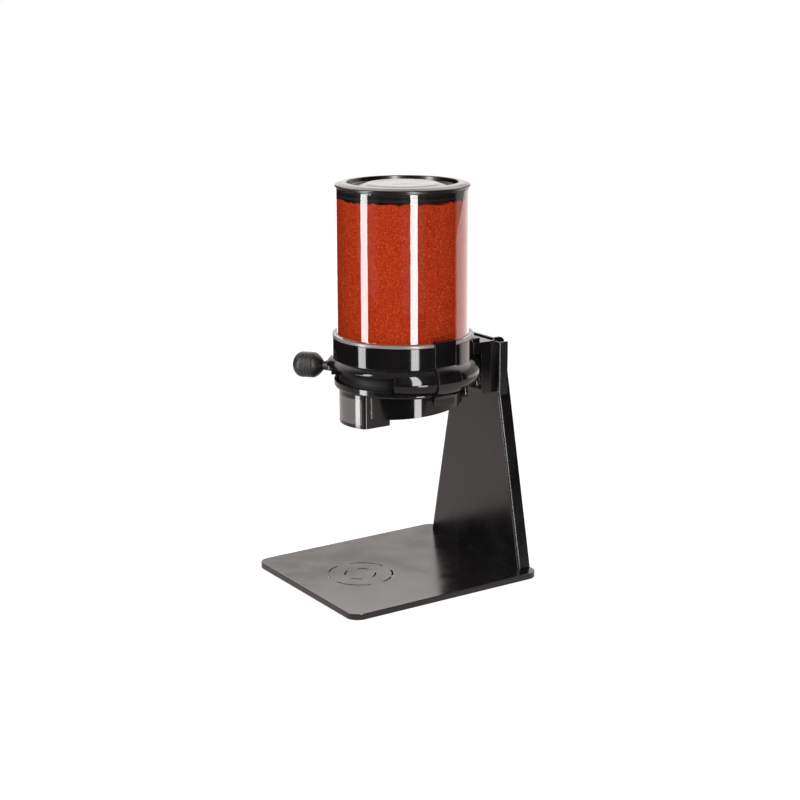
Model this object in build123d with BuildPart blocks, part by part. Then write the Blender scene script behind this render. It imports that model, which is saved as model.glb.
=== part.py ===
from build123d import *
from math import cos, radians, sin, sqrt, tan
import os

# All lengths are millimetres. X runs left to right, Y front to back and Z up.
# The origin lies under the middle of the base plate, on the table.

# Base plate and feet
foot_stand = 1.5
foot_radius = 9.0
foot_inset = 17.0
plate_width = 161.0
plate_front_margin = 56.7
plate_thickness = 5.0
plate_corner = 11.0
plate_edge_break = 0.6
target_reach = 44.3
target_slot_width = 1.4
target_outer_radius = 27.6
target_outer_bridge = 12.4
target_inner_radius = 13.0
target_inner_bridge = 9.8

# Upright, a folded sheet that narrows towards its top
upright_sheet = 2.5
upright_flange = 9.2
upright_foot_width = 133.0
upright_top_width = 50.0
upright_height = 196.2
upright_bend = 2.4
upright_ear_radius = 4.0
base_screw_spacing = 45.0
base_screw_count = 3
base_screw_radius = 2.0
base_screw_head = 3.9
base_screw_end = 1.0
base_nut_flats = 7.0
base_nut_height = 3.2
screw_clearance = 0.2

# Saddle, a folded sheet round the front of the upright
saddle_sheet = 1.5
saddle_width = 73.4
saddle_rise = 148.3
saddle_height = 46.0
saddle_flange = 7.5
saddle_bend = 2.2
bracket_screw_radius = 2.5
bracket_screw_head = 4.4
bracket_screw_head_height = 3.0
bracket_screw_bite = 5.5
bracket_screw_hex = 3.0
bracket_screw_pitch_x = 26.0
bracket_screw_pitch_z = 20.0
bracket_screw_drop = 22.0
bracket_washer_radius = 5.0
bracket_washer_height = 1.0

# Arm between the saddle and the metering head
arm_width = 60.0
arm_rise = 150.0
arm_height = 45.0
arm_web = 12.8
arm_wrap = 1.0
arm_corner = 2.5
arm_gap = 0.4
horn_reach = 11.0
horn_height = 9.5
arm_screw_radius = 2.0
arm_screw_head = 3.6
arm_screw_head_depth = 3.0
arm_screw_spacing = 38.0
arm_screw_drop = 5.0
arm_screw_bite = 6.0

# Metering head. Its radii are about the vertical axis at head_y, and follow from the canister's.
spout_clearance = 133.0
skirt_drop = 12.1
skirt_slope = 4.8
flange_drop = 28.0
rotor_floor_rise = 32.0
rotor_floor_thickness = 3.0
flange_inset = 1.3
flange_lip = 2.0
flange_lip_wall = 3.5
flange_round = 2.0
skirt_step = 8.0
skirt_wall = 2.5
rib_thickness = 2.0
rib_drop = 10.0
rib_angles = (-75.0, 75.0, -128.0, 128.0, 180.0)
ear_radius = 3.8
ear_height = 2.4
ear_web_half_angle = 3.0
join_overlap = 1.0
cut_spare = 1.0

# Spout under the head
spout_width = 41.2
spout_nose_radius = 36.0
spout_inset = 1.0
spout_room = 8.2
spout_wall = 2.5
spout_corner = 3.0

# Ring that bulges round the rotor, and the collar above it
bulge_rise = 9.9
bulge_inset = 4.5
bulge_radius = 11.8
bulge_wall = 2.5
housing_gap = 0.5
collar_wall = 4.0
collar_fit = 0.3
collar_height = 38.5
collar_lip_round = 0.6
seat_rise = 20.0
seat_thickness = 2.0
seat_ledge = 1.0
window_left = 55.0
window_right = 50.5
window_lip_rise = 16.0
boss_width = 52.0
boss_proud = 1.7
boss_height = 13.0
post_radius = 3.2
post_offset = 3.8
post_angles = (-145.0, -112.0, 112.0, 145.0)
post_height = 16.4
housing_screw_radius = 1.5
housing_screw_head = 2.8
housing_screw_head_height = 2.0
housing_screw_bite = 8.0

# Rotor with its two dose pockets
rotor_gap = 0.5
rotor_lift = 0.8
rotor_height = 13.6
rotor_groove_depth = 2.2
rotor_land = 1.8
pocket_rim = 4.5
pocket_width = 16.0
pocket_half_angle = 20.0
pocket_corner = 3.0
lever_travel = 90.0
outlet_margin = 0.5
drive_pin_radius = 1.5
drive_pin_length = 26.0

# Floor plate of the hopper, above the rotor
hopper_floor_thickness = 3.0
hopper_floor_gap = 0.2
hopper_hub_radius = 12.0
hopper_hub_height = 3.0
fill_half_angle = 34.0
fill_margin = 1.0
floor_screw_count = 6
floor_screw_start = 30.0
floor_screw_inset = 3.0
floor_screw_radius = 1.25
floor_screw_head = 2.3
floor_screw_bite = 1.4

# Shaft, bushes and stirrer
shaft_radius = 5.0
shaft_tip_radius = 4.0
running_clearance = 0.05
bush_wall = 2.5
lower_bush_length = 16.0
boss_wall = 3.5
thrust_radius = 12.0
circlip_height = 1.2
circlip_reach = 2.4
circlip_groove = 0.6
circlip_opening = 44.0
axial_gap = 0.1
shaft_tail = 1.4
seal_height = 1.2
seal_radius = 8.5
seal_gap = 0.3
stirrer_hub_radius = 9.0
stirrer_hub_height = 7.0
stirrer_gap = 9.0
stirrer_blade_height = 5.0
stirrer_blade_thickness = 3.0
stirrer_blades = 3
stirrer_nut_flats = 13.0
stirrer_nut_height = 5.5
stirrer_nut_cover = 1.0
stirrer_nut_chamfer = 0.8

# Lever and knob
lever_rest = -50.0
shoe_half_angle = 13.0
shoe_height = 8.6
shoe_gap = 3.3
neck_root_radius = 4.2
neck_tip_radius = 3.8
neck_bite = 3.0
neck_length = 4.2
flare_start = 10.0
flare_bite = 2.0
flare_length = 5.6
flare_height = 6.4
stud_radius = 2.5
stud_bite = 8.0
stud_reach = 14.0
lever_screw_radius = 1.5
lever_screw_head = 2.7
lever_screw_head_depth = 1.8
lever_screw_bite = 7.0
lever_screw_angle = 9.0
knob_gap = 0.3
knob_radius = 11.0
knob_taper_length = 5.2
knob_grip_length = 13.2
knob_end_length = 8.7
knob_ring_count = 4
knob_ring_pitch = 2.7
knob_ring_depth = 0.5
knob_ring_width = 0.9
knob_ring_start = 1.5

# Side straps that clip the head together
strap_angle = 91.5
strap_half_angle = 9.7
strap_thickness = 2.0
strap_gap = 0.4
strap_hook = 3.3
strap_bend = 62.0
strap_toe = 3.0
strap_foot = 5.5

# Canister, its gasket, its filling and the lid
canister_radius = 55.0
canister_wall = 3.0
canister_height = 140.5
canister_edge_round = 0.8
canister_flange_height = 2.5
gasket_height = 1.5
gasket_gap = 0.3
powder_gap = 0.3
powder_top_gap = 7.8
powder_room_side = 2.5
powder_room_top = 1.7
lid_overhang = 1.0
lid_step = 1.0
lid_rim_height = 4.7
lid_rim_round = 1.8
lid_rim_width = 4.6
lid_recess = 4.2
lid_thickness = 2.2
lid_recess_width = 10.4
lid_disc_drop = 0.8
lid_disc_slope = 12.0
lid_draft = 1.0
lid_ledge_inset = 0.5
lid_skirt_gap = 1.0
lid_skirt_wall = 2.6
lid_skirt_depth = 7.4
lid_seal_gap = 0.35
lid_seal_radius = 1.1
lid_seal_drop = 4.0
lid_seal_clearance = 0.05

# Radii of the head, from the canister inwards and outwards
canister_bore = canister_radius - canister_wall
seat_bore = canister_bore - seat_ledge
collar_bore = canister_radius + collar_fit
collar_radius = collar_bore + collar_wall
flange_radius = collar_radius - flange_inset
skirt_radius = flange_radius - skirt_step
skirt_bore = skirt_radius - skirt_wall
bulge_centre_radius = collar_radius - bulge_inset
bulge_bore = flange_radius + housing_gap
rotor_radius = flange_radius - flange_lip_wall - rotor_gap
pocket_outer = rotor_radius - pocket_rim
pocket_inner = pocket_outer - pocket_width
spout_front = flange_radius - spout_inset
spout_back = pocket_inner - spout_room
post_place = flange_radius + post_offset
boss_reach = collar_radius + boss_proud
floor_screw_place = seat_bore + floor_screw_inset
stirrer_reach = seat_bore - stirrer_gap
bush_radius = shaft_radius + running_clearance + bush_wall

# Places from front to back. The upright's back edge stands over the plate's.
upright_depth = upright_sheet + upright_flange
stand_depth = arm_web + saddle_sheet + upright_depth
plate_depth = plate_front_margin + target_reach + boss_reach + stand_depth
upright_front = plate_depth / 2 - upright_depth
saddle_front = upright_front - saddle_sheet
boss_face = saddle_front - arm_web
arm_front = boss_face - arm_wrap
arm_depth = saddle_front - arm_front
head_y = boss_face - boss_reach
target_y = head_y - target_reach

# Levels from the table up
deck = foot_stand + plate_thickness
spout_bottom = deck + spout_clearance
skirt_bottom = spout_bottom + skirt_drop
skirt_lowest = skirt_bottom - skirt_radius * tan(radians(skirt_slope)) - cut_spare
flange_bottom = spout_bottom + flange_drop
rotor_floor_top = spout_bottom + rotor_floor_rise
rotor_floor_bottom = rotor_floor_top - rotor_floor_thickness
flange_top = rotor_floor_top + flange_lip
rotor_bottom = rotor_floor_top + rotor_lift
rotor_top = rotor_bottom + rotor_height
lever_level = (rotor_bottom + rotor_top) / 2
bulge_level = rotor_floor_top + bulge_rise
seat_top = rotor_floor_top + seat_rise
seat_bottom = seat_top - seat_thickness
hopper_floor_bottom = seat_bottom - hopper_floor_thickness
collar_top = rotor_floor_top + collar_height
window_top = rotor_floor_top + window_lip_rise
upright_top = deck + upright_height
saddle_bottom = deck + saddle_rise
saddle_top = saddle_bottom + saddle_height
arm_bottom = deck + arm_rise
arm_top = arm_bottom + arm_height
hook_bottom = collar_top + canister_flange_height
strap_top = hook_bottom + strap_thickness
hook_edge = collar_radius + strap_gap - strap_hook
toe_top = flange_bottom - strap_gap
foot_bottom = toe_top - strap_foot
boss_bottom = seat_top + axial_gap
bearing_bottom = rotor_floor_top - lower_bush_length
shaft_bottom = bearing_bottom - axial_gap - circlip_height - shaft_tail
hopper_hub_top = seat_bottom + hopper_hub_height
pin_hole_radius = drive_pin_radius + running_clearance
stirrer_bottom = hopper_hub_top + seal_gap + seal_height + seal_gap
stirrer_top = stirrer_bottom + stirrer_hub_height
canister_bottom = seat_top + gasket_height + gasket_gap
canister_top = canister_bottom + canister_height
powder_top = canister_top - powder_top_gap
lid_top = canister_top + lid_rim_height
powder_void_radius = stirrer_reach + powder_room_side
powder_void_top = stirrer_top + stirrer_nut_height + powder_room_top

# Lid and lever
lid_radius = canister_radius + lid_overhang
lid_rim_bore = lid_radius - lid_rim_width
lid_slope_end = lid_rim_bore - lid_recess_width
lid_disc_radius = lid_slope_end - lid_disc_slope
lid_skirt_radius = canister_bore - lid_skirt_gap
lid_seal_place = canister_bore - lid_seal_gap - lid_seal_radius
shoe_reach = bulge_centre_radius + bulge_radius - bulge_wall - shoe_gap
flare_end = shoe_reach + flare_length
neck_end = flare_end + neck_length
knob_start = neck_end + knob_gap
knob_grip_start = knob_start + knob_taper_length
knob_grip_end = knob_grip_start + knob_grip_length
knob_tip = knob_grip_end + knob_end_length

head_axis = Axis((0, head_y, 0), (0, 0, 1))
skirt_normal = (0, -sin(radians(skirt_slope)), cos(radians(skirt_slope)))
standing = (Align.CENTER, Align.CENTER, Align.MIN)
hanging = (Align.CENTER, Align.CENTER, Align.MAX)
base_screw_y = upright_front + upright_sheet + upright_flange / 2
bracket_screw_level = saddle_top - bracket_screw_drop
arm_screw_level = arm_top - arm_screw_drop
upright_back_of_web = Plane(
    origin=(0, upright_front + upright_sheet, bracket_screw_level), x_dir=(1, 0, 0), z_dir=(0, 1, 0)
)


def level(height):
    """Horizontal plane of the metering head at a height."""
    return Plane(origin=(0, head_y, height))


def heading(angle):
    """Unit direction away from the head's axis, at an angle from the front towards +X."""
    turn = radians(angle - 90)
    return Vector(cos(turn), sin(turn), 0)


def section(angle, height=0.0):
    """Vertical plane through the head's axis: its x runs outwards and its y up."""
    outwards = heading(angle)
    return Plane(origin=(0, head_y, height), x_dir=outwards, z_dir=(outwards.Y, -outwards.X, 0))


def facing(angle, distance, height):
    """Plane that faces outwards at a distance from the head's axis."""
    outwards = heading(angle)
    place = Vector(0, head_y, height) + outwards * distance
    return Plane(origin=place, x_dir=(-outwards.Y, outwards.X, 0), z_dir=outwards)


def ring_sector(inner, outer, middle, half_angle, mode=Mode.ADD):
    """Sketch face between two radii, either side of an angle from the front."""
    start = middle - 90 - half_angle
    with BuildLine() as outline:
        inside = CenterArc((0, 0), inner, start, 2 * half_angle)
        outside = CenterArc((0, 0), outer, start, 2 * half_angle)
        Line(inside @ 0, outside @ 0)
        Line(inside @ 1, outside @ 1)
    make_face(outline.edges(), mode=mode)


def upright_half_width(height):
    """Half the upright's width at a height."""
    share = (height - deck) / upright_height
    return upright_foot_width / 2 + (upright_top_width - upright_foot_width) / 2 * share


def post_planes(height, upwards=1):
    """Planes at the four posts at a height, facing up or, with -1, down."""
    middle = Vector(0, head_y, height)
    places = [middle + heading(angle) * post_place for angle in post_angles]
    return [Plane(origin=place, z_dir=(0, 0, upwards)) for place in places]


def bulge_height(distance, radius):
    """Height of a ring of a given section radius above its middle, at a distance from the axis."""
    return sqrt(radius**2 - (distance - bulge_centre_radius) ** 2)


def save(builder, name):
    """Label a finished piece and write its STEP file."""
    builder.part.label = name
    export_step(builder.part, f"parts/{name}.step")


os.makedirs("parts", exist_ok=True)

# Base plate, with the cut rings that show where the cup stands
with BuildPart() as base_plate:
    with BuildSketch(Plane.XY.offset(foot_stand)):
        RectangleRounded(plate_width, plate_depth, plate_corner)
    extrude(amount=plate_thickness)
    fillet(base_plate.edges().group_by(Axis.Z)[-1], plate_edge_break)
    with BuildSketch(Plane(origin=(0, target_y, deck))):
        for ring, bridge in (
            (target_outer_radius, target_outer_bridge),
            (target_inner_radius, target_inner_bridge),
        ):
            Circle(ring + target_slot_width / 2)
            Circle(ring - target_slot_width / 2, mode=Mode.SUBTRACT)
            with PolarLocations(0, 2, angular_range=180):
                Rectangle(3 * ring, bridge, mode=Mode.SUBTRACT)
    extrude(amount=-plate_thickness, mode=Mode.SUBTRACT)
    with Locations(Plane(origin=(0, base_screw_y, foot_stand), z_dir=(0, 0, -1))):
        with GridLocations(base_screw_spacing, 1, base_screw_count, 1):
            CounterSinkHole(
                base_screw_radius + screw_clearance,
                base_screw_head + screw_clearance,
                depth=plate_thickness,
                counter_sink_angle=90,
            )
save(base_plate, "base_plate")

# Rubber feet under the corners of the plate
with BuildPart() as rubber_feet:
    with GridLocations(plate_width - 2 * foot_inset, plate_depth - 2 * foot_inset, 2, 2):
        Cylinder(foot_radius, foot_stand, align=standing)
save(rubber_feet, "rubber_feet")

# Upright: web, two side flanges and a bottom flange, open at the back and the top
with BuildPart() as upright:
    with BuildSketch(Plane.XZ.offset(-upright_front)):
        with BuildLine():
            foot_half = upright_half_width(deck)
            top_half = upright_half_width(upright_top)
            Polyline(
                (-foot_half, deck),
                (foot_half, deck),
                (top_half, upright_top),
                (-top_half, upright_top),
                close=True,
            )
        make_face()
    extrude(amount=-upright_depth)
    fillet(upright.faces().sort_by(Axis.Y)[0].edges().filter_by(Axis.X, reverse=True), upright_bend)
    with BuildSketch(Plane.XZ.offset(-(upright_front + upright_sheet))):
        with BuildLine():
            inner_bottom = deck + upright_sheet
            low_half = upright_half_width(inner_bottom) - upright_sheet
            high_half = upright_half_width(upright_top) - upright_sheet
            Polyline(
                (-low_half, inner_bottom),
                (low_half, inner_bottom),
                (high_half, upright_top),
                (-high_half, upright_top),
                close=True,
            )
        make_face()
    extrude(amount=-upright_flange, mode=Mode.SUBTRACT)
    back_corners = upright.edges().filter_by(Axis.X).group_by(Axis.Y)[-1].group_by(Axis.Z)[-1]
    fillet(back_corners, upright_ear_radius)
    with Locations(Plane(origin=(0, base_screw_y, deck + upright_sheet))):
        with GridLocations(base_screw_spacing, 1, base_screw_count, 1):
            Hole(base_screw_radius + screw_clearance, depth=upright_sheet)
    with Locations(upright_back_of_web):
        with GridLocations(bracket_screw_pitch_x, bracket_screw_pitch_z, 2, 2):
            Hole(bracket_screw_radius + screw_clearance, depth=upright_sheet)
save(upright, "upright")

# Countersunk screws up through the plate, and their nuts on the bottom flange
with BuildPart() as base_screws:
    base_screw_length = plate_thickness + upright_sheet + base_nut_height + base_screw_end
    with Locations(Plane(origin=(0, base_screw_y, foot_stand))):
        with GridLocations(base_screw_spacing, 1, base_screw_count, 1):
            Cylinder(base_screw_radius, base_screw_length, align=standing)
            Cone(base_screw_head, base_screw_radius, base_screw_head - base_screw_radius, align=standing)
save(base_screws, "base_screws")

with BuildPart() as base_nuts:
    with BuildSketch(Plane(origin=(0, base_screw_y, deck + upright_sheet))):
        with GridLocations(base_screw_spacing, 1, base_screw_count, 1):
            RegularPolygon(base_nut_flats / 2, 6, major_radius=False)
            Circle(base_screw_radius + running_clearance, mode=Mode.SUBTRACT)
    extrude(amount=base_nut_height)
save(base_nuts, "base_nuts")

# Saddle: a channel of sheet that holds the arm against the upright
with BuildPart() as saddle:
    with BuildSketch(Plane(origin=(0, saddle_front, saddle_bottom))):
        with Locations((0, (saddle_sheet + saddle_flange) / 2)):
            blank = Rectangle(saddle_width, saddle_sheet + saddle_flange)
        fillet(blank.vertices().group_by(Axis.Y)[0], saddle_bend)
        with Locations((0, saddle_sheet + saddle_flange / 2)):
            Rectangle(saddle_width - 2 * saddle_sheet, saddle_flange, mode=Mode.SUBTRACT)
    extrude(amount=saddle_height)
    with Locations(upright_back_of_web.offset(-upright_sheet)):
        with GridLocations(bracket_screw_pitch_x, bracket_screw_pitch_z, 2, 2):
            Hole(bracket_screw_radius + screw_clearance, depth=saddle_sheet)
save(saddle, "saddle")

# Screws from behind through upright and saddle into the arm, with washers
with BuildPart() as bracket_washers:
    with BuildSketch(upright_back_of_web):
        with GridLocations(bracket_screw_pitch_x, bracket_screw_pitch_z, 2, 2):
            Circle(bracket_washer_radius)
            Circle(bracket_screw_radius + screw_clearance, mode=Mode.SUBTRACT)
    extrude(amount=bracket_washer_height)
save(bracket_washers, "bracket_washers")

with BuildPart() as bracket_screws:
    with Locations(upright_back_of_web.offset(bracket_washer_height)):
        with GridLocations(bracket_screw_pitch_x, bracket_screw_pitch_z, 2, 2):
            Cylinder(bracket_screw_head, bracket_screw_head_height, align=standing)
            Cylinder(
                bracket_screw_radius,
                bracket_washer_height + upright_sheet + saddle_sheet + bracket_screw_bite,
                align=hanging,
            )
    head_rims = bracket_screws.faces().group_by(Axis.Y)[-1].edges()
    fillet(head_rims, bracket_screw_head_height / 3)
    with BuildSketch(upright_back_of_web.offset(bracket_washer_height + bracket_screw_head_height)):
        with GridLocations(bracket_screw_pitch_x, bracket_screw_pitch_z, 2, 2):
            RegularPolygon(bracket_screw_hex / 2, 6, major_radius=False)
    extrude(amount=-bracket_screw_head_height / 2, mode=Mode.SUBTRACT)
save(bracket_screws, "bracket_screws")

# Arm: a block in front of the saddle, with two horns that reach round the collar
with BuildPart() as bracket_arm:
    with BuildSketch(Plane(origin=(0, arm_front, arm_bottom))):
        with Locations((0, arm_depth / 2)):
            Rectangle(arm_width, arm_depth)
    extrude(amount=arm_height)
    with BuildSketch(Plane(origin=(0, arm_front, arm_top))):
        with Locations((0, (arm_depth - horn_reach) / 2)):
            Rectangle(arm_width, arm_depth + horn_reach)
    extrude(amount=-horn_height)
    uprights = bracket_arm.edges().filter_by(Axis.Z).group_by(Axis.Y)[0]
    fillet(uprights, arm_corner)
    with BuildSketch(section(0)):
        with BuildLine():
            low = bulge_level - bulge_height(flange_radius + arm_gap, bulge_radius + arm_gap)
            high = bulge_level + bulge_height(collar_radius + arm_gap, bulge_radius + arm_gap)
            crest = (bulge_centre_radius + bulge_radius + arm_gap, bulge_level)
            ThreePointArc((flange_radius + arm_gap, low), crest, (collar_radius + arm_gap, high))
            Polyline(
                (collar_radius + arm_gap, high),
                (collar_radius + arm_gap, collar_top),
                (0, collar_top),
                (0, arm_bottom),
                (flange_radius + arm_gap, arm_bottom),
                (flange_radius + arm_gap, low),
            )
        make_face()
    revolve(axis=head_axis, mode=Mode.SUBTRACT)
    with BuildSketch(Plane(origin=(0, boss_face, arm_top))):
        with Locations((0, -boss_reach / 2)):
            Rectangle(boss_width + 2 * arm_gap, boss_reach)
    extrude(amount=-(arm_top - boss_bottom + arm_gap), mode=Mode.SUBTRACT)
    with Locations(Plane(origin=(0, saddle_front, arm_screw_level), x_dir=(1, 0, 0), z_dir=(0, 1, 0))):
        with GridLocations(arm_screw_spacing, 1, 2, 1):
            CounterBoreHole(
                arm_screw_radius + screw_clearance,
                arm_screw_head + screw_clearance,
                arm_screw_head_depth,
                depth=arm_depth,
            )
    with Locations(upright_back_of_web.offset(-upright_sheet - saddle_sheet)):
        with GridLocations(bracket_screw_pitch_x, bracket_screw_pitch_z, 2, 2):
            Hole(bracket_screw_radius + running_clearance, depth=bracket_screw_bite + axial_gap)
save(bracket_arm, "bracket_arm")

with BuildPart() as arm_screws:
    head_seat = Vector(0, saddle_front - arm_screw_head_depth, arm_screw_level)
    with Locations(Plane(origin=head_seat, x_dir=(1, 0, 0), z_dir=(0, 1, 0))):
        with GridLocations(arm_screw_spacing, 1, 2, 1):
            Cylinder(arm_screw_head, arm_screw_head_depth - axial_gap, align=standing)
            Cylinder(arm_screw_radius, arm_web - arm_screw_head_depth + arm_screw_bite, align=hanging)
save(arm_screws, "arm_screws")

# Lower housing: rotor floor, flange, skirt and spout in one moulding, open underneath
with BuildPart() as outlet_housing:
    with BuildSketch(level(flange_bottom)):
        Circle(flange_radius)
    extrude(amount=flange_top - flange_bottom)
    fillet(outlet_housing.edges().group_by(Axis.Z)[0], flange_round)
    with BuildSketch(level(flange_bottom)):
        for angle in post_angles:
            with Locations(heading(angle) * post_place):
                Circle(ear_radius)
            ring_sector(flange_radius - 2 * join_overlap, post_place, angle, ear_web_half_angle)
    extrude(amount=ear_height)
    with BuildSketch(level(rotor_floor_top)):
        Circle(flange_radius - flange_lip_wall)
    extrude(amount=flange_lip, mode=Mode.SUBTRACT)
    with BuildSketch(level(skirt_lowest)):
        Circle(skirt_radius)
    extrude(amount=flange_bottom + flange_round - skirt_lowest)
    with BuildSketch(level(skirt_lowest)):
        Circle(skirt_bore)
    extrude(amount=rotor_floor_bottom - skirt_lowest, mode=Mode.SUBTRACT)
    with BuildSketch(Plane(origin=(0, head_y, skirt_bottom), x_dir=(1, 0, 0), z_dir=skirt_normal)):
        Circle(2 * skirt_radius)
    extrude(amount=-skirt_radius, mode=Mode.SUBTRACT)
    with BuildSketch(level(rotor_floor_bottom)):
        Circle(bush_radius + boss_wall)
    extrude(amount=-(rotor_floor_bottom - bearing_bottom))
    with BuildSketch(level(rotor_floor_bottom)):
        rib_start = bush_radius + boss_wall - join_overlap
        rib_end = skirt_bore + join_overlap
        for angle in rib_angles:
            with Locations(Location(heading(angle) * (rib_start + rib_end) / 2, (0, 0, angle - 90))):
                Rectangle(rib_end - rib_start, rib_thickness)
    extrude(amount=-rib_drop)
    with BuildSketch(level(spout_bottom)) as spout_outline:
        with Locations((0, spout_nose_radius - spout_front)):
            Circle(spout_nose_radius)
        with Locations((0, -spout_back)):
            front_half = (Align.CENTER, Align.MAX)
            Rectangle(spout_width, spout_front, align=front_half, mode=Mode.INTERSECT)
        fillet(spout_outline.vertices(), spout_corner)
    extrude(amount=rotor_floor_bottom - spout_bottom)
    with BuildSketch(level(spout_bottom)):
        offset(spout_outline.sketch_local.face(), amount=-spout_wall)
    extrude(amount=rotor_floor_bottom - spout_bottom, mode=Mode.SUBTRACT)
    with BuildSketch(level(rotor_floor_bottom)):
        outlet_half_angle = pocket_half_angle + outlet_margin
        ring_sector(pocket_inner - outlet_margin, pocket_outer + outlet_margin, 0, outlet_half_angle)
    extrude(amount=rotor_floor_thickness, mode=Mode.SUBTRACT)
    with Locations(level(rotor_floor_top)):
        Hole(bush_radius, depth=lower_bush_length)
    with Locations(*post_planes(flange_bottom + ear_height)):
        Hole(housing_screw_radius + screw_clearance, depth=ear_height)
save(outlet_housing, "outlet_housing")

# Upper housing: bulging ring, collar, canister seat and the boss that the arm holds
with BuildPart() as metering_housing:
    shell_low = bulge_height(bulge_bore, bulge_radius)
    shell_high = bulge_height(collar_radius, bulge_radius)
    inner_height = bulge_height(bulge_bore, bulge_radius - bulge_wall)
    with BuildSketch(section(0)):
        with BuildLine():
            ThreePointArc(
                (bulge_bore, bulge_level - shell_low),
                (bulge_centre_radius + bulge_radius, bulge_level),
                (collar_radius, bulge_level + shell_high),
            )
            Polyline(
                (collar_radius, bulge_level + shell_high),
                (collar_radius, collar_top),
                (seat_bore, collar_top),
                (seat_bore, seat_bottom),
                (bulge_bore, seat_bottom),
                (bulge_bore, bulge_level - shell_low),
            )
        make_face()
    revolve(axis=head_axis)
    with BuildSketch(Plane(origin=(0, boss_face, boss_bottom))):
        with Locations((0, -boss_reach / 2)):
            Rectangle(boss_width, boss_reach)
    extrude(amount=boss_height)
    with BuildSketch(section(0)):
        with BuildLine():
            ThreePointArc(
                (bulge_bore, bulge_level - inner_height),
                (bulge_centre_radius + bulge_radius - bulge_wall, bulge_level),
                (bulge_bore, bulge_level + inner_height),
            )
            Line((bulge_bore, bulge_level + inner_height), (bulge_bore, bulge_level - inner_height))
        make_face()
        with BuildLine():
            Polyline(
                (0, seat_bottom),
                (seat_bore, seat_bottom),
                (seat_bore, seat_top),
                (collar_bore, seat_top),
                (collar_bore, collar_top),
                (0, collar_top),
                close=True,
            )
        make_face()
    revolve(axis=head_axis, mode=Mode.SUBTRACT)
    rim = metering_housing.faces().group_by(Axis.Z)[-1].edges()
    fillet(rim, collar_lip_round)
    with Locations(level(seat_bottom)):
        with PolarLocations(floor_screw_place, floor_screw_count, start_angle=floor_screw_start):
            pilot_radius = floor_screw_radius + running_clearance
            Cylinder(pilot_radius, floor_screw_bite + axial_gap, align=standing, mode=Mode.SUBTRACT)
    with BuildSketch(level(flange_bottom)):
        window_middle = (window_right - window_left) / 2
        window_half_angle = (window_right + window_left) / 2
        ring_sector(seat_bore, bulge_centre_radius + 2 * bulge_radius, window_middle, window_half_angle)
    extrude(amount=window_top - flange_bottom, mode=Mode.SUBTRACT)
    with Locations(*post_planes(flange_bottom + ear_height)):
        Cylinder(post_radius, post_height, align=standing)
    with Locations(*post_planes(flange_bottom + ear_height, -1)):
        Hole(housing_screw_radius + running_clearance, depth=housing_screw_bite + axial_gap)
    with Locations(Plane(origin=(0, boss_face, arm_screw_level), x_dir=(1, 0, 0), z_dir=(0, 1, 0))):
        with GridLocations(arm_screw_spacing, 1, 2, 1):
            Hole(arm_screw_radius + running_clearance, depth=arm_screw_bite + axial_gap)
save(metering_housing, "metering_housing")

# Screws that hold the two housings together
with BuildPart() as housing_screws:
    with Locations(*post_planes(flange_bottom)):
        Cylinder(housing_screw_head, housing_screw_head_height, align=hanging)
        Cylinder(housing_screw_radius, ear_height + housing_screw_bite, align=standing)
save(housing_screws, "housing_screws")

# Rotor: a thick disc with two through pockets, one dose each
with BuildPart() as rotor:
    groove_low = rotor_bottom + rotor_land
    groove_high = rotor_top - rotor_land
    with BuildSketch(section(0)):
        with BuildLine():
            Polyline(
                (rotor_radius, groove_low),
                (rotor_radius, rotor_bottom),
                (0, rotor_bottom),
                (0, rotor_top),
                (rotor_radius, rotor_top),
                (rotor_radius, groove_high),
            )
            ThreePointArc(
                (rotor_radius, groove_high),
                (rotor_radius - rotor_groove_depth, lever_level),
                (rotor_radius, groove_low),
            )
        make_face()
    revolve(axis=head_axis)
    with BuildSketch(level(rotor_top)) as pockets:
        for angle in (0, -lever_travel):
            ring_sector(pocket_inner, pocket_outer, angle, pocket_half_angle)
        fillet(pockets.vertices(), pocket_corner)
    extrude(amount=-rotor_height, mode=Mode.SUBTRACT)
    with Locations(level(rotor_top)):
        Hole(shaft_radius + running_clearance, depth=rotor_height)
    with Locations(facing(lever_rest - 90, drive_pin_length / 2, lever_level)):
        Cylinder(pin_hole_radius, drive_pin_length, align=hanging, mode=Mode.SUBTRACT)
    for side in (-lever_screw_angle, lever_screw_angle):
        with Locations(facing(lever_rest + side, rotor_radius, lever_level)):
            Hole(lever_screw_radius + running_clearance, depth=lever_screw_bite + axial_gap)
save(rotor, "rotor")

# Shaft that turns with the rotor and carries the stirrer
with BuildPart() as rotor_shaft:
    with BuildSketch(section(0)):
        groove_top = bearing_bottom - axial_gap
        groove_bottom = groove_top - circlip_height
        groove_radius = shaft_radius - circlip_groove
        shaft_top = stirrer_top + stirrer_nut_height - stirrer_nut_cover
        with BuildLine():
            Polyline(
                (0, shaft_bottom),
                (shaft_radius, shaft_bottom),
                (shaft_radius, groove_bottom),
                (groove_radius, groove_bottom),
                (groove_radius, groove_top),
                (shaft_radius, groove_top),
                (shaft_radius, stirrer_top),
                (shaft_tip_radius, stirrer_top),
                (shaft_tip_radius, shaft_top),
                (0, shaft_top),
                close=True,
            )
        make_face()
    revolve(axis=head_axis)
    with Locations(facing(lever_rest - 90, drive_pin_length / 2, lever_level)):
        Cylinder(pin_hole_radius, drive_pin_length, align=hanging, mode=Mode.SUBTRACT)
save(rotor_shaft, "rotor_shaft")

with BuildPart() as drive_pin:
    with Locations(facing(lever_rest - 90, drive_pin_length / 2, lever_level)):
        Cylinder(drive_pin_radius, drive_pin_length, align=hanging)
save(drive_pin, "drive_pin")

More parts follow.
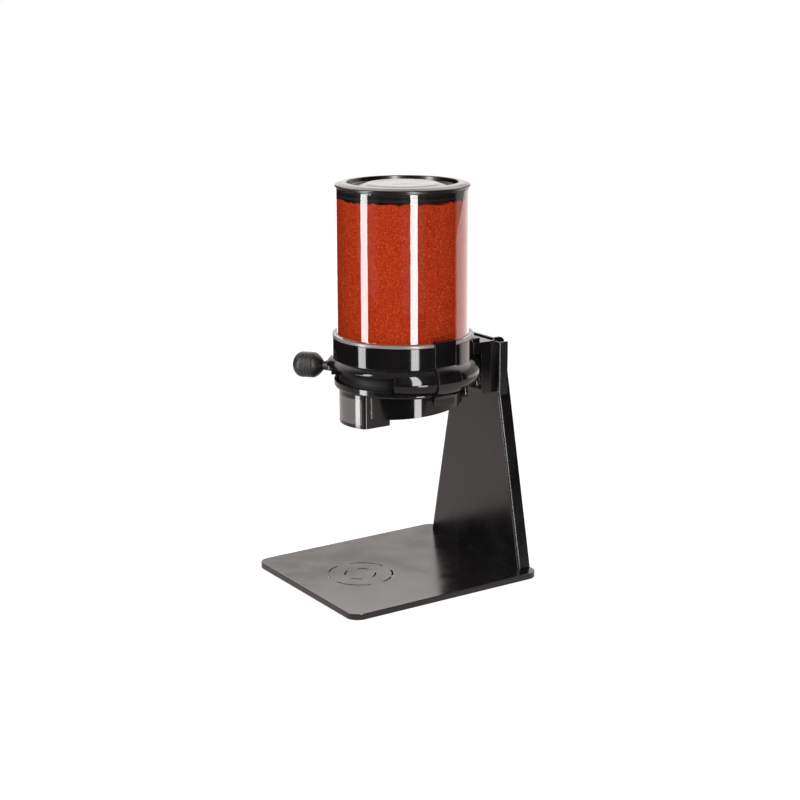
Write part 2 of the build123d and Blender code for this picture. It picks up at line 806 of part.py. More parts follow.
with BuildPart() as shaft_circlip:
    with BuildSketch(level(groove_bottom)):
        clip_bore = groove_radius + running_clearance
        clip_radius = groove_radius + circlip_reach
        Circle(clip_radius)
        Circle(clip_bore, mode=Mode.SUBTRACT)
        clip_opening = circlip_opening / 2
        ring_sector(clip_bore - cut_spare, clip_radius + cut_spare, 180, clip_opening, mode=Mode.SUBTRACT)
    extrude(amount=circlip_height)
save(shaft_circlip, "shaft_circlip")

# Bushes, thrust washer and seal round the shaft
with BuildPart() as lower_bush:
    with BuildSketch(level(bearing_bottom)):
        Circle(bush_radius)
        Circle(shaft_radius + running_clearance, mode=Mode.SUBTRACT)
    extrude(amount=lower_bush_length)
save(lower_bush, "lower_bush")

with BuildPart() as upper_bush:
    with BuildSketch(level(hopper_floor_bottom)):
        Circle(bush_radius)
        Circle(shaft_radius + running_clearance, mode=Mode.SUBTRACT)
    extrude(amount=hopper_hub_top - hopper_floor_bottom)
save(upper_bush, "upper_bush")

with BuildPart() as thrust_washer:
    with BuildSketch(level(rotor_floor_top)):
        Circle(thrust_radius)
        Circle(shaft_radius + running_clearance, mode=Mode.SUBTRACT)
    extrude(amount=rotor_lift)
save(thrust_washer, "thrust_washer")

with BuildPart() as shaft_seal:
    with BuildSketch(level(hopper_hub_top + seal_gap)):
        Circle(seal_radius)
        Circle(shaft_radius + seal_gap, mode=Mode.SUBTRACT)
    extrude(amount=seal_height)
save(shaft_seal, "shaft_seal")

# Floor plate of the hopper, with a fill port over each side of the rotor
with BuildPart() as hopper_floor:
    with BuildSketch(level(hopper_floor_bottom)):
        Circle(bulge_bore - hopper_floor_gap)
    extrude(amount=hopper_floor_thickness)
    with BuildSketch(level(seat_bottom)):
        Circle(hopper_hub_radius)
    extrude(amount=hopper_hub_height)
    with BuildSketch(level(hopper_floor_bottom)) as ports:
        for angle in (-lever_travel, lever_travel):
            ring_sector(pocket_inner - fill_margin, pocket_outer + fill_margin, angle, fill_half_angle)
        fillet(ports.vertices(), pocket_corner)
    extrude(amount=hopper_floor_thickness, mode=Mode.SUBTRACT)
    with Locations(level(hopper_hub_top)):
        Hole(bush_radius, depth=hopper_hub_top - hopper_floor_bottom)
    with Locations(Plane(origin=(0, head_y, hopper_floor_bottom), z_dir=(0, 0, -1))):
        with PolarLocations(floor_screw_place, floor_screw_count, start_angle=floor_screw_start):
            CounterSinkHole(
                floor_screw_radius + running_clearance,
                floor_screw_head + running_clearance,
                depth=hopper_floor_thickness,
                counter_sink_angle=90,
            )
save(hopper_floor, "hopper_floor")

with BuildPart() as floor_screws:
    with Locations(level(hopper_floor_bottom)):
        with PolarLocations(floor_screw_place, floor_screw_count, start_angle=floor_screw_start):
            floor_screw_sink = floor_screw_head - floor_screw_radius
            Cone(floor_screw_head, floor_screw_radius, floor_screw_sink, align=standing)
            Cylinder(floor_screw_radius, hopper_floor_thickness + floor_screw_bite, align=standing)
save(floor_screws, "floor_screws")

# Stirrer above the hopper floor, and the nut that holds it
with BuildPart() as stirrer:
    with BuildSketch(level(stirrer_bottom)):
        Circle(stirrer_hub_radius)
    extrude(amount=stirrer_hub_height)
    with BuildSketch(level(stirrer_bottom)):
        with PolarLocations(stirrer_reach / 2, stirrer_blades, start_angle=lever_rest - 90):
            SlotOverall(stirrer_reach, stirrer_blade_thickness)
    extrude(amount=stirrer_blade_height)
    with Locations(level(stirrer_top)):
        Hole(shaft_radius + running_clearance, depth=stirrer_hub_height)
save(stirrer, "stirrer")

with BuildPart() as stirrer_nut:
    with BuildSketch(level(stirrer_top)):
        RegularPolygon(stirrer_nut_flats / 2, 6, major_radius=False)
    extrude(amount=stirrer_nut_height)
    with BuildSketch(level(stirrer_top)):
        Circle(shaft_tip_radius + running_clearance)
    extrude(amount=shaft_top - stirrer_top + axial_gap, mode=Mode.SUBTRACT)
    chamfer(stirrer_nut.faces().group_by(Axis.Z)[-1].edges(), stirrer_nut_chamfer)
save(stirrer_nut, "stirrer_nut")

# Lever: a shoe in the rotor's groove, and a neck that leaves through the window
with BuildPart() as lever_arm:
    groove_half = (rotor_height - 2 * rotor_land) / 2
    groove_round = (groove_half**2 + rotor_groove_depth**2) / (2 * rotor_groove_depth)
    groove_centre = rotor_radius - rotor_groove_depth + groove_round
    shoe_half = shoe_height / 2
    shoe_round = groove_round - running_clearance
    shoe_edge = groove_centre - sqrt(shoe_round**2 - shoe_half**2)
    with BuildSketch(section(lever_rest - shoe_half_angle)):
        with BuildLine():
            ThreePointArc(
                (shoe_edge, lever_level - shoe_half),
                (groove_centre - shoe_round, lever_level),
                (shoe_edge, lever_level + shoe_half),
            )
            Polyline(
                (shoe_edge, lever_level + shoe_half),
                (shoe_reach, lever_level + shoe_half),
                (shoe_reach, lever_level - shoe_half),
                (shoe_edge, lever_level - shoe_half),
            )
        make_face()
    revolve(axis=head_axis, revolution_arc=2 * shoe_half_angle)
    with BuildSketch(section(lever_rest, lever_level)):
        with BuildLine():
            Polyline(
                (shoe_reach - neck_bite, 0),
                (shoe_reach - neck_bite, neck_root_radius),
                (flare_end, neck_root_radius),
                (neck_end, neck_tip_radius),
                (neck_end, 0),
                close=True,
            )
        make_face()
    revolve(axis=Axis((0, head_y, lever_level), heading(lever_rest)))
    outwards = heading(lever_rest)
    with BuildSketch(Plane(origin=(0, head_y, lever_level), x_dir=outwards, z_dir=(0, 0, 1))):
        with BuildLine():
            flare_root = shoe_reach - flare_bite
            TangentArc((flare_end, neck_root_radius), (flare_root, flare_start), tangent=(-1, 0))
            Polyline(
                (flare_root, flare_start),
                (flare_root, -neck_root_radius),
                (flare_end, -neck_root_radius),
                (flare_end, neck_root_radius),
            )
        make_face()
    extrude(amount=flare_height / 2, both=True)
    with Locations(facing(lever_rest, neck_end, lever_level)):
        Hole(stud_radius + running_clearance, depth=stud_bite)
    for side in (-lever_screw_angle, lever_screw_angle):
        with Locations(facing(lever_rest + side, shoe_reach, lever_level)):
            CounterBoreHole(
                lever_screw_radius + running_clearance,
                lever_screw_head + running_clearance,
                lever_screw_head_depth,
                depth=shoe_reach,
            )
save(lever_arm, "lever_arm")

with BuildPart() as lever_screws:
    for side in (-lever_screw_angle, lever_screw_angle):
        head_seat = shoe_reach - lever_screw_head_depth
        with Locations(facing(lever_rest + side, head_seat, lever_level)):
            Cylinder(lever_screw_head, lever_screw_head_depth - axial_gap, align=standing)
            Cylinder(lever_screw_radius, head_seat - rotor_radius + lever_screw_bite, align=hanging)
save(lever_screws, "lever_screws")

with BuildPart() as knob_stud:
    with Locations(facing(lever_rest, neck_end - stud_bite, lever_level)):
        Cylinder(stud_radius, stud_bite + stud_reach, align=standing)
save(knob_stud, "knob_stud")

with BuildPart() as knob:
    with BuildSketch(section(lever_rest, lever_level)):
        with BuildLine():
            Line((knob_start, 0), (knob_start, neck_tip_radius))
            half_way = sin(radians(45))
            shoulder_x = knob_grip_start - knob_taper_length * half_way
            shoulder_y = neck_tip_radius + (knob_radius - neck_tip_radius) * half_way
            grip_corner = (knob_grip_start, knob_radius)
            ThreePointArc((knob_start, neck_tip_radius), (shoulder_x, shoulder_y), grip_corner)
            Line((knob_grip_start, knob_radius), (knob_grip_end, knob_radius))
            EllipticalCenterArc((knob_grip_end, 0), knob_end_length, knob_radius, start_angle=0, arc_size=90)
            Line((knob_tip, 0), (knob_start, 0))
        make_face()
        for ring in range(knob_ring_count):
            with Locations((knob_grip_start + knob_ring_start + ring * knob_ring_pitch, knob_radius)):
                Rectangle(knob_ring_width, 2 * knob_ring_depth, mode=Mode.SUBTRACT)
    revolve(axis=Axis((0, head_y, lever_level), heading(lever_rest)))
    with Locations(facing(lever_rest + 180, -knob_start, lever_level)):
        Hole(stud_radius + running_clearance, depth=stud_reach)
save(knob, "knob")

# Straps that hook over the canister's flange and under the lower housing's flange on both sides
for side, name in ((-1, "side_strap_left"), (1, "side_strap_right")):
    with BuildPart() as side_strap:
        inside = bulge_radius + strap_gap
        outside = inside + strap_thickness
        bend = radians(strap_bend)
        with BuildSketch(section(side * strap_angle - strap_half_angle)):
            with BuildLine():
                in_wall = collar_radius + strap_gap
                out_wall = in_wall + strap_thickness
                in_high = bulge_level + bulge_height(in_wall, inside)
                out_high = bulge_level + bulge_height(out_wall, outside)
                in_low = (bulge_centre_radius + inside * cos(bend), bulge_level - inside * sin(bend))
                out_low = (bulge_centre_radius + outside * cos(bend), bulge_level - outside * sin(bend))
                in_foot = flange_radius + strap_gap
                out_foot = in_foot + strap_thickness
                ThreePointArc((out_wall, out_high), (bulge_centre_radius + outside, bulge_level), out_low)
                toe_end = flange_radius - strap_toe
                Polyline(
                    out_low,
                    (out_foot, toe_top),
                    (out_foot, foot_bottom),
                    (in_foot, foot_bottom),
                    (toe_end, toe_top - strap_thickness),
                    (toe_end, toe_top),
                    (in_foot, toe_top),
                    (in_foot, toe_top + strap_thickness),
                    in_low,
                )
                ThreePointArc(in_low, (bulge_centre_radius + inside, bulge_level), (in_wall, in_high))
                Polyline(
                    (in_wall, in_high),
                    (in_wall, hook_bottom),
                    (hook_edge, hook_bottom),
                    (hook_edge, strap_top),
                    (out_wall, strap_top),
                    (out_wall, out_high),
                )
            make_face()
        revolve(axis=head_axis, revolution_arc=2 * strap_half_angle)
    save(side_strap, name)

# Gasket on the seat, and the clear canister that stands on it
with BuildPart() as canister_gasket:
    with BuildSketch(level(seat_top)):
        Circle(canister_radius)
        Circle(canister_bore, mode=Mode.SUBTRACT)
    extrude(amount=gasket_height)
save(canister_gasket, "canister_gasket")

with BuildPart() as canister:
    with BuildSketch(level(canister_bottom)):
        Circle(canister_radius)
        Circle(canister_bore, mode=Mode.SUBTRACT)
    extrude(amount=canister_height)
    fillet(canister.faces().group_by(Axis.Z)[-1].edges(), canister_edge_round)
    with BuildSketch(level(collar_top)):
        Circle(collar_radius)
        Circle(canister_bore, mode=Mode.SUBTRACT)
    extrude(amount=canister_flange_height)
save(canister, "canister")

# Powder in the canister, hollow underneath where the stirrer turns
with BuildPart() as powder_fill:
    with BuildSketch(level(seat_bottom + powder_gap)):
        Circle(seat_bore - powder_gap)
    extrude(amount=canister_bottom - seat_bottom)
    with BuildSketch(level(canister_bottom + powder_gap)):
        Circle(canister_bore - powder_gap)
    extrude(amount=powder_top - canister_bottom - powder_gap)
    with BuildSketch(level(seat_bottom + powder_gap)):
        Circle(powder_void_radius)
    extrude(amount=powder_void_top - seat_bottom - powder_gap, mode=Mode.SUBTRACT)
save(powder_fill, "powder_fill")

# Lid: rolled rim, recess, raised middle and a skirt that plugs the canister
with BuildPart() as lid:
    recess_top = lid_top - lid_recess
    recess_under = recess_top - lid_thickness
    disc_top = lid_top - lid_disc_drop
    ledge_radius = canister_radius - lid_ledge_inset
    skirt_inside = lid_skirt_radius - lid_skirt_wall
    skirt_end = canister_top - lid_skirt_depth
    with BuildSketch(section(0)):
        with BuildLine():
            Polyline(
                (0, disc_top - lid_thickness),
                (0, disc_top),
                (lid_disc_radius, disc_top),
                (lid_slope_end, recess_top),
                (lid_rim_bore - lid_draft, recess_top),
                (lid_rim_bore, lid_top),
                (lid_radius, lid_top),
                (lid_radius, canister_top + lid_step),
                (ledge_radius, canister_top + lid_step),
                (ledge_radius, canister_top),
                (lid_skirt_radius, canister_top),
                (lid_skirt_radius, skirt_end),
                (skirt_inside, skirt_end),
                (skirt_inside, recess_under),
                (lid_slope_end - lid_draft, recess_under),
                (lid_disc_radius - lid_draft, disc_top - lid_thickness),
                close=True,
            )
        make_face()
    revolve(axis=head_axis)
    rim_edges = lid.edges().filter_by(GeomType.CIRCLE).sort_by(SortBy.RADIUS)[-2:]
    fillet(rim_edges.sort_by(Axis.Z)[-1], lid_rim_round)
    with BuildSketch(section(0)):
        with Locations((lid_seal_place, canister_top - lid_seal_drop)):
            Circle(lid_seal_radius + lid_seal_clearance)
    revolve(axis=head_axis, mode=Mode.SUBTRACT)
save(lid, "lid")

with BuildPart() as lid_seal:
    with BuildSketch(section(0)):
        with Locations((lid_seal_place, canister_top - lid_seal_drop)):
            Circle(lid_seal_radius)
    revolve(axis=head_axis)
save(lid_seal, "lid_seal")
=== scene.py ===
"""Looks of a table-top powder dispenser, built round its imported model.

Lengths are metres in the model's own frame: X left to right, Y front to back and Z up from the table.
Angles about the head's axis are counted from the front towards +X, as on the model.
"""

import logging
import math
from dataclasses import dataclass, field
from enum import Enum
from functools import partial, reduce

import bmesh
import bpy
import numpy as np
from mathutils import Matrix, Vector


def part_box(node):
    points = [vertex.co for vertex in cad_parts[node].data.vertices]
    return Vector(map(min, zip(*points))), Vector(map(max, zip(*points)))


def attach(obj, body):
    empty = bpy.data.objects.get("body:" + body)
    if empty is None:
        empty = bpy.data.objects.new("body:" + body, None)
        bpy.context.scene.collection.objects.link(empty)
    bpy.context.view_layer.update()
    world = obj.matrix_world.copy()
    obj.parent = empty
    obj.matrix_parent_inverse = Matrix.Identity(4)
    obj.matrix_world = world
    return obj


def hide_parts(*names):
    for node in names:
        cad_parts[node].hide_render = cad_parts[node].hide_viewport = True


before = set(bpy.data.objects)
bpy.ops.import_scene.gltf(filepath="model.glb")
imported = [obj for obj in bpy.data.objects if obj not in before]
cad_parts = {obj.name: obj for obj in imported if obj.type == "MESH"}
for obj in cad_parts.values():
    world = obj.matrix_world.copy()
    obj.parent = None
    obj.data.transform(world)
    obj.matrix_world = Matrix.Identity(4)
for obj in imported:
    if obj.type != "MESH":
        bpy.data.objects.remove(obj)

MM = 0.001
PHOTO_SIDE = 800
Colour = tuple[float, float, float]
Piece = bpy.types.Object
Node = bpy.types.Node
Socket = bpy.types.NodeSocket

# Points closer than the first are merged, and edges shorter than the second are dissolved
MERGE_DISTANCE = 1e-6
SLIVER_LENGTH = 1e-7

# Sockets of the Mix node when it mixes colours
MIX_SHARE = 0
MIX_FIRST = 6
MIX_SECOND = 7
MIX_RESULT = 2

log = logging.getLogger("dispenser")


# Shapes worked out as arrays


@dataclass(frozen=True)
class Span:
    """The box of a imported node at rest."""

    low: Vector
    high: Vector

    @classmethod
    def of(cls, node: str) -> "Span":
        """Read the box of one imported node."""
        return cls(*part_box(node))

    @property
    def radius(self) -> float:
        """Half the box's width, which is the radius of a turned node."""
        return (self.high.x - self.low.x) / 2

    @property
    def axis(self) -> Vector:
        """Point on the floor under the middle of the box."""
        return Vector(((self.low.x + self.high.x) / 2, (self.low.y + self.high.y) / 2, 0.0))


def heading(angle: float) -> Vector:
    """Unit direction at an angle in degrees from the front towards +X."""
    bearing = math.radians(angle)
    return Vector((math.sin(bearing), -math.cos(bearing), 0.0))


def reach(node: str, origin: Vector, direction: Vector) -> tuple[float, float]:
    """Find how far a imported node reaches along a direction.

    Args:
        node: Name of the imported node.
        origin: Point that distances are counted from.
        direction: Unit direction.

    Returns:
        The nearest and the farthest distance.
    """
    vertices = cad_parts[node].data.vertices
    points = np.empty(len(vertices) * 3, np.float32)
    vertices.foreach_get("co", points)
    along = (points.reshape(-1, 3) - np.array(origin)) @ np.array(direction)
    return float(along.min()), float(along.max())


def round_corners(corners: np.ndarray, radii: np.ndarray, steps: int) -> np.ndarray:
    """Round every corner of a closed outline with an arc.

    Each arc touches both sides of its corner. Its centre lies on the bisector, at radius / sin(half angle),
    and its points turn evenly from the first touching point to the second.

    Args:
        corners: Corner points, one row each.
        radii: Radius at each corner.
        steps: Number of points on each arc.

    Returns:
        Points of the rounded outline.
    """
    before = np.roll(corners, 1, axis=0) - corners
    after = np.roll(corners, -1, axis=0) - corners
    before /= np.linalg.norm(before, axis=1, keepdims=True)
    after /= np.linalg.norm(after, axis=1, keepdims=True)
    half = np.arccos(np.clip((before * after).sum(axis=1), -1, 1)) / 2
    bisector = before + after
    bisector /= np.linalg.norm(bisector, axis=1, keepdims=True)
    centre = corners + bisector * (radii / np.sin(half))[:, None]
    touch = (radii / np.tan(half))[:, None]
    first = corners + before * touch - centre
    last = corners + after * touch - centre
    sweep = math.pi - 2 * half
    share = np.linspace(0, 1, steps)[None, :, None]
    turned = sweep[:, None, None]
    arc = first[:, None] * np.sin((1 - share) * turned) + last[:, None] * np.sin(share * turned)
    return (centre[:, None] + arc / np.sin(turned)).reshape(-1, 2)


def turn(profile: np.ndarray, origin: Vector, axis: Vector, steps: int) -> np.ndarray:
    """Carry an outline once round an axis.

    A point (radius, height) goes to origin + height * axis + radius * (cos a * side + sin a * across),
    with the angle a running evenly through a full turn.

    Args:
        profile: Points (radius, height) of the outline.
        origin: Point on the axis at height 0.
        axis: Unit direction of the axis.
        steps: Number of steps round the axis.

    Returns:
        Grid of points, one row for each step.
    """
    side = axis.orthogonal().normalized()
    across = axis.cross(side)
    angle = np.linspace(0, 2 * math.pi, steps, endpoint=False)
    radial = np.cos(angle)[:, None] * np.array(side) + np.sin(angle)[:, None] * np.array(across)
    along = profile[None, :, 1:2] * np.array(axis)
    return np.array(origin) + along + profile[None, :, 0:1] * radial[:, None, :]


def new_object(name: str, data: bpy.types.ID) -> Piece:
    """Put a new object into the scene.

    Args:
        name: Name of the object.
        data: Its mesh, lamp or camera.

    Returns:
        The object, at the origin.
    """
    piece = bpy.data.objects.new(name, data)
    bpy.context.scene.collection.objects.link(piece)
    return piece


def mesh_from_grid(name: str, grid: np.ndarray, sharp_degrees: float = 35.0) -> Piece:
    """Make a closed mesh from a grid that joins up both ways.

    Points that fall together, as at a pole, are merged, and the faces are turned outwards.

    Args:
        name: Name of the new object.
        grid: Points in rows and columns.
        sharp_degrees: Angle between faces from which an edge stays sharp.

    Returns:
        The new object, at the origin.
    """
    rows, columns = grid.shape[:2]
    index = np.arange(rows * columns).reshape(rows, columns)
    right = np.roll(index, -1, axis=1)
    down = np.roll(index, -1, axis=0)
    corner = np.roll(right, -1, axis=0)
    faces = np.stack([index, right, corner, down], axis=-1).reshape(-1, 4)
    mesh = bpy.data.meshes.new(name)
    mesh.from_pydata(grid.reshape(-1, 3).tolist(), [], faces.tolist())
    work = bmesh.new()
    work.from_mesh(mesh)
    bmesh.ops.remove_doubles(work, verts=work.verts, dist=MERGE_DISTANCE)
    bmesh.ops.dissolve_degenerate(work, edges=work.edges, dist=SLIVER_LENGTH)
    bmesh.ops.recalc_face_normals(work, faces=work.faces)
    work.to_mesh(mesh)
    work.free()
    mesh.shade_smooth()
    mesh.set_sharp_from_angle(angle=math.radians(sharp_degrees))
    return new_object(name, mesh)


def turned_piece(
    name: str,
    outline: tuple[tuple[float, float, float], ...],
    axis: Vector,
    steps: int,
    arc_steps: int = 6,
    sharp_degrees: float = 35.0,
) -> Piece:
    """Round the corners of a closed outline with arcs and carry it once round an upright axis.

    Args:
        name: Name of the new object.
        outline: Corners, each with its distance from the axis, its height and its radius in millimetres.
        axis: Point on the floor under the axis.
        steps: Number of steps round the axis.
        arc_steps: Number of points on each corner's arc.
        sharp_degrees: Angle between faces from which an edge stays sharp.

    Returns:
        The new object.
    """
    corners = np.array([corner[:2] for corner in outline])
    radii = np.array([corner[2] * MM for corner in outline])
    grid = turn(round_corners(corners, radii, arc_steps), axis, Vector((0, 0, 1)), steps)
    return mesh_from_grid(name, grid, sharp_degrees)


# Shader nodes


class Sheet:
    """A node tree with short ways to add and join its nodes."""

    def __init__(self, tree: bpy.types.NodeTree) -> None:
        """Keep the tree that nodes are added to."""
        self.tree = tree

    def add(self, kind: str, settings: dict | None = None, **inputs: object) -> Node:
        """Add a node.

        Args:
            kind: Type name of the node.
            settings: Properties of the node by name.
            **inputs: Values or sockets for the inputs, with _ for a space in an input's name.

        Returns:
            The new node.
        """
        node = self.tree.nodes.new(kind)
        for name, value in (settings or {}).items():
            setattr(node, name, value)
        for name, value in inputs.items():
            self.feed(node, name.replace("_", " "), value)
        return node

    def feed(self, node: Node, name: str | int, value: object) -> None:
        """Set one input of a node to a value, or join a socket to it.

        Args:
            node: Node that has the input.
            name: Name or number of the input.
            value: Value, or the socket to join.
        """
        socket = node.inputs[name]
        if isinstance(value, Socket):
            self.tree.links.new(value, socket)
        else:
            socket.default_value = value

    def pair(self, kind: str, operation: str, first: object, second: object) -> Node:
        """Add a node that works on two inputs.

        Args:
            kind: Type name of the node.
            operation: What the node does with its inputs.
            first: First value or socket.
            second: Second value or socket.

        Returns:
            The new node.
        """
        node = self.add(kind, {"operation": operation})
        self.feed(node, 0, first)
        self.feed(node, 1, second)
        return node

    def math(self, operation: str, first: object, second: object = 0.0) -> Socket:
        """Add a Math node and return its result."""
        return self.pair("ShaderNodeMath", operation, first, second).outputs[0]

    def vector(self, operation: str, first: object, second: object) -> Socket:
        """Add a Vector Math node and return its number."""
        return self.pair("ShaderNodeVectorMath", operation, first, second).outputs["Value"]

    def rays(self, *kinds: str) -> Socket:
        """Mask the rays of any of these kinds.

        Args:
            *kinds: Kinds of ray, such as Camera or Glossy.

        Returns:
            Socket of the mask, the largest of the kinds' own masks.
        """
        path = self.add("ShaderNodeLightPath")
        masks = [path.outputs[f"Is {kind} Ray"] for kind in kinds]
        return reduce(partial(self.math, "MAXIMUM"), masks)

    def ramp(self, value: object, low: float, high: float, start: float = 0.0, end: float = 1.0) -> Socket:
        """Map a value from one span to another along a smooth step, held at both ends.

        Args:
            value: Socket of the value.
            low: Value that gives start.
            high: Value that gives end.
            start: Result at low.
            end: Result at high.

        Returns:
            Socket of the result.
        """
        node = self.add("ShaderNodeMapRange", {"interpolation_type": "SMOOTHSTEP"})
        levels = {"Value": value, "From Min": low, "From Max": high, "To Min": start, "To Max": end}
        for name, level in levels.items():
            self.feed(node, name, level)
        return node.outputs["Result"]

    def noise(self, spot: object, scale: object, detail: object, roughness: float = 0.5) -> Socket:
        """Add a Noise Texture node and return its value."""
        node = self.add("ShaderNodeTexNoise", Vector=spot, Scale=scale, Detail=detail, Roughness=roughness)
        return node.outputs["Fac"]

    def bump(self, height: object, depth: float, **inputs: object) -> Socket:
        """Add a Bump node and return its normal."""
        values = {"Strength": 1.0, "Distance": depth, "Height": height} | inputs
        return self.add("ShaderNodeBump", **values).outputs["Normal"]

    def group(self, tree: bpy.types.NodeTree, **inputs: object) -> Node:
        """Add a node group."""
        return self.add("ShaderNodeGroup", {"node_tree": tree}, **inputs)

    def spot(self) -> Socket:
        """Add a Texture Coordinate node and return the coordinates of the object itself."""
        return self.add("ShaderNodeTexCoord").outputs["Object"]

    def height(self) -> Socket:
        """Height above the table."""
        return self.add("ShaderNodeSeparateXYZ", Vector=self.spot()).outputs["Z"]

    def blend(self, share: object, first: object, second: object) -> Socket:
        """Mix two colours.

        Args:
            share: Share of the second colour.
            first: Colour where the share is 0.
            second: Colour where the share is 1.

        Returns:
            Socket of the mixed colour.
        """
        node = self.add("ShaderNodeMix", {"data_type": "RGBA"})
        for socket, value in ((MIX_SHARE, share), (MIX_FIRST, first), (MIX_SECOND, second)):
            self.feed(node, socket, value)
        return node.outputs[MIX_RESULT]

    def mix(self, share: object, first: Node, second: Node) -> Node:
        """Mix two shaders.

        Args:
            share: Share of the second shader.
            first: Node of the shader where the share is 0.
            second: Node of the shader where the share is 1.

        Returns:
            The mixing node.
        """
        node = self.add("ShaderNodeMixShader", Fac=share)
        self.feed(node, 1, first.outputs[0])
        self.feed(node, 2, second.outputs[0])
        return node


def opaque(colour: Colour) -> tuple[float, float, float, float]:
    """Colour with full alpha."""
    return (*colour, 1.0)


def new_group(
    name: str, inputs: dict[str, float], outputs: dict[str, str]
) -> tuple[Sheet, dict[str, Socket], Node]:
    """Start a shader node group.

    Args:
        name: Name of the group.
        inputs: Default of each number that the group takes.
        outputs: Socket type of each result.

    Returns:
        The sheet, the input sockets by name and the output node.
    """
    tree = bpy.data.node_groups.new(name, "ShaderNodeTree")
    for label, value in inputs.items():
        number = tree.interface.new_socket(label, in_out="INPUT", socket_type="NodeSocketFloat")
        number.default_value = value
    for label, kind in outputs.items():
        tree.interface.new_socket(label, in_out="OUTPUT", socket_type=kind)
    sheet = Sheet(tree)
    start = sheet.add("NodeGroupInput")
    end = sheet.add("NodeGroupOutput")
    return sheet, {label: start.outputs[label] for label in inputs}, end


def grain_group() -> bpy.types.NodeTree:
    """Make fine grain for bump, and slow clouds for colour and gloss.

    Returns:
        The group's tree.
    """
    sheet, given, end = new_group(
        "surface_grain",
        {"Scale": 1500.0, "Detail": 2.0, "Cloud Scale": 30.0},
        {"Height": "NodeSocketFloat", "Cloud": "NodeSocketFloat"},
    )
    spot = sheet.spot()
    sheet.feed(end, "Height", sheet.noise(spot, given["Scale"], given["Detail"], roughness=0.55))
    sheet.feed(end, "Cloud", sheet.noise(spot, given["Cloud Scale"], detail=3.0, roughness=0.6))
    return sheet.tree


def edge_group() -> bpy.types.NodeTree:
    """Make softly rounded normals, and a mask of the edges where a finish wears first.

    A point is on an edge where the rounded normal leans away from the face's own normal.

    Returns:
        The group's tree.
    """
    edge_starts, edge_full = 0.995, 0.85
    patch_starts, patch_full = 0.45, 0.7
    sheet, given, end = new_group(
        "soft_edges",
        {"Radius": 0.0004, "Wear Scale": 400.0},
        {"Normal": "NodeSocketVector", "Worn": "NodeSocketFloat"},
    )
    rounded = sheet.add("ShaderNodeBevel", {"samples": 6}, Radius=given["Radius"]).outputs["Normal"]
    flat = sheet.add("ShaderNodeNewGeometry").outputs["Normal"]
    likeness = sheet.vector("DOT_PRODUCT", rounded, flat)
    edge = sheet.ramp(likeness, edge_starts, edge_full)
    patch = sheet.noise(sheet.spot(), given["Wear Scale"], detail=2.0)
    worn = sheet.math("MULTIPLY", edge, sheet.ramp(patch, patch_starts, patch_full))
    sheet.feed(end, "Normal", rounded)
    sheet.feed(end, "Worn", worn)
    return sheet.tree


def dust_group() -> bpy.types.NodeTree:
    """Make a mask of the fine dust that settles on faces that look up.

    Returns:
        The group's tree.
    """
    settles_from, settles_fully = 0.5, 1.0
    speck_starts, speck_full = 0.58, 0.72
    sheet, given, end = new_group(
        "settled_dust", {"Amount": 0.3, "Scale": 900.0}, {"Mask": "NodeSocketFloat"}
    )
    normal = sheet.add("ShaderNodeNewGeometry").outputs["Normal"]
    split = sheet.add("ShaderNodeSeparateXYZ", Vector=normal)
    upward = sheet.ramp(split.outputs["Z"], settles_from, settles_fully)
    spot = sheet.spot()
    specks = sheet.ramp(sheet.noise(spot, given["Scale"], detail=1.0), speck_starts, speck_full)
    drift = sheet.noise(spot, 25.0, detail=3.0)
    cover = sheet.math("MULTIPLY", upward, sheet.math("MULTIPLY", specks, drift))
    sheet.feed(end, "Mask", sheet.math("MULTIPLY", cover, given["Amount"]))
    return sheet.tree


GRAIN_GROUP = grain_group()
EDGE_GROUP = edge_group()
DUST_GROUP = dust_group()


def new_material(name: str) -> tuple[bpy.types.Material, Sheet, Node]:
    """Start a material.

    Args:
        name: Name of the material.

    Returns:
        The material, its sheet and its output node.
    """
    material = bpy.data.materials.new(name)
    material.use_nodes = True
    material.node_tree.nodes.clear()
    sheet = Sheet(material.node_tree)
    return material, sheet, sheet.add("ShaderNodeOutputMaterial")


# Finishes


BLACK: Colour = (0.0027, 0.0024, 0.0024)
RUBBER: Colour = (0.012, 0.012, 0.012)
WORN_STEEL: Colour = (0.7, 0.7, 0.7)
DUST: Colour = (0.35, 0.33, 0.31)

# Cloud noise between which a finish goes from its dark tone to its light one
CLOUD_LOW = 0.3
CLOUD_HIGH = 0.7

# Added to the roughness where a surface is dull, and the share of its mirror strength that is left there
DULL_ROUGHNESS = 0.5
DULL_SHINE = 0.2


class Grain(Enum):
    """How a finish's fine relief is built."""

    POWDER_COAT = "powder coat"
    MOULDED = "moulded"
    SATIN = "satin"
    TURNED = "turned"


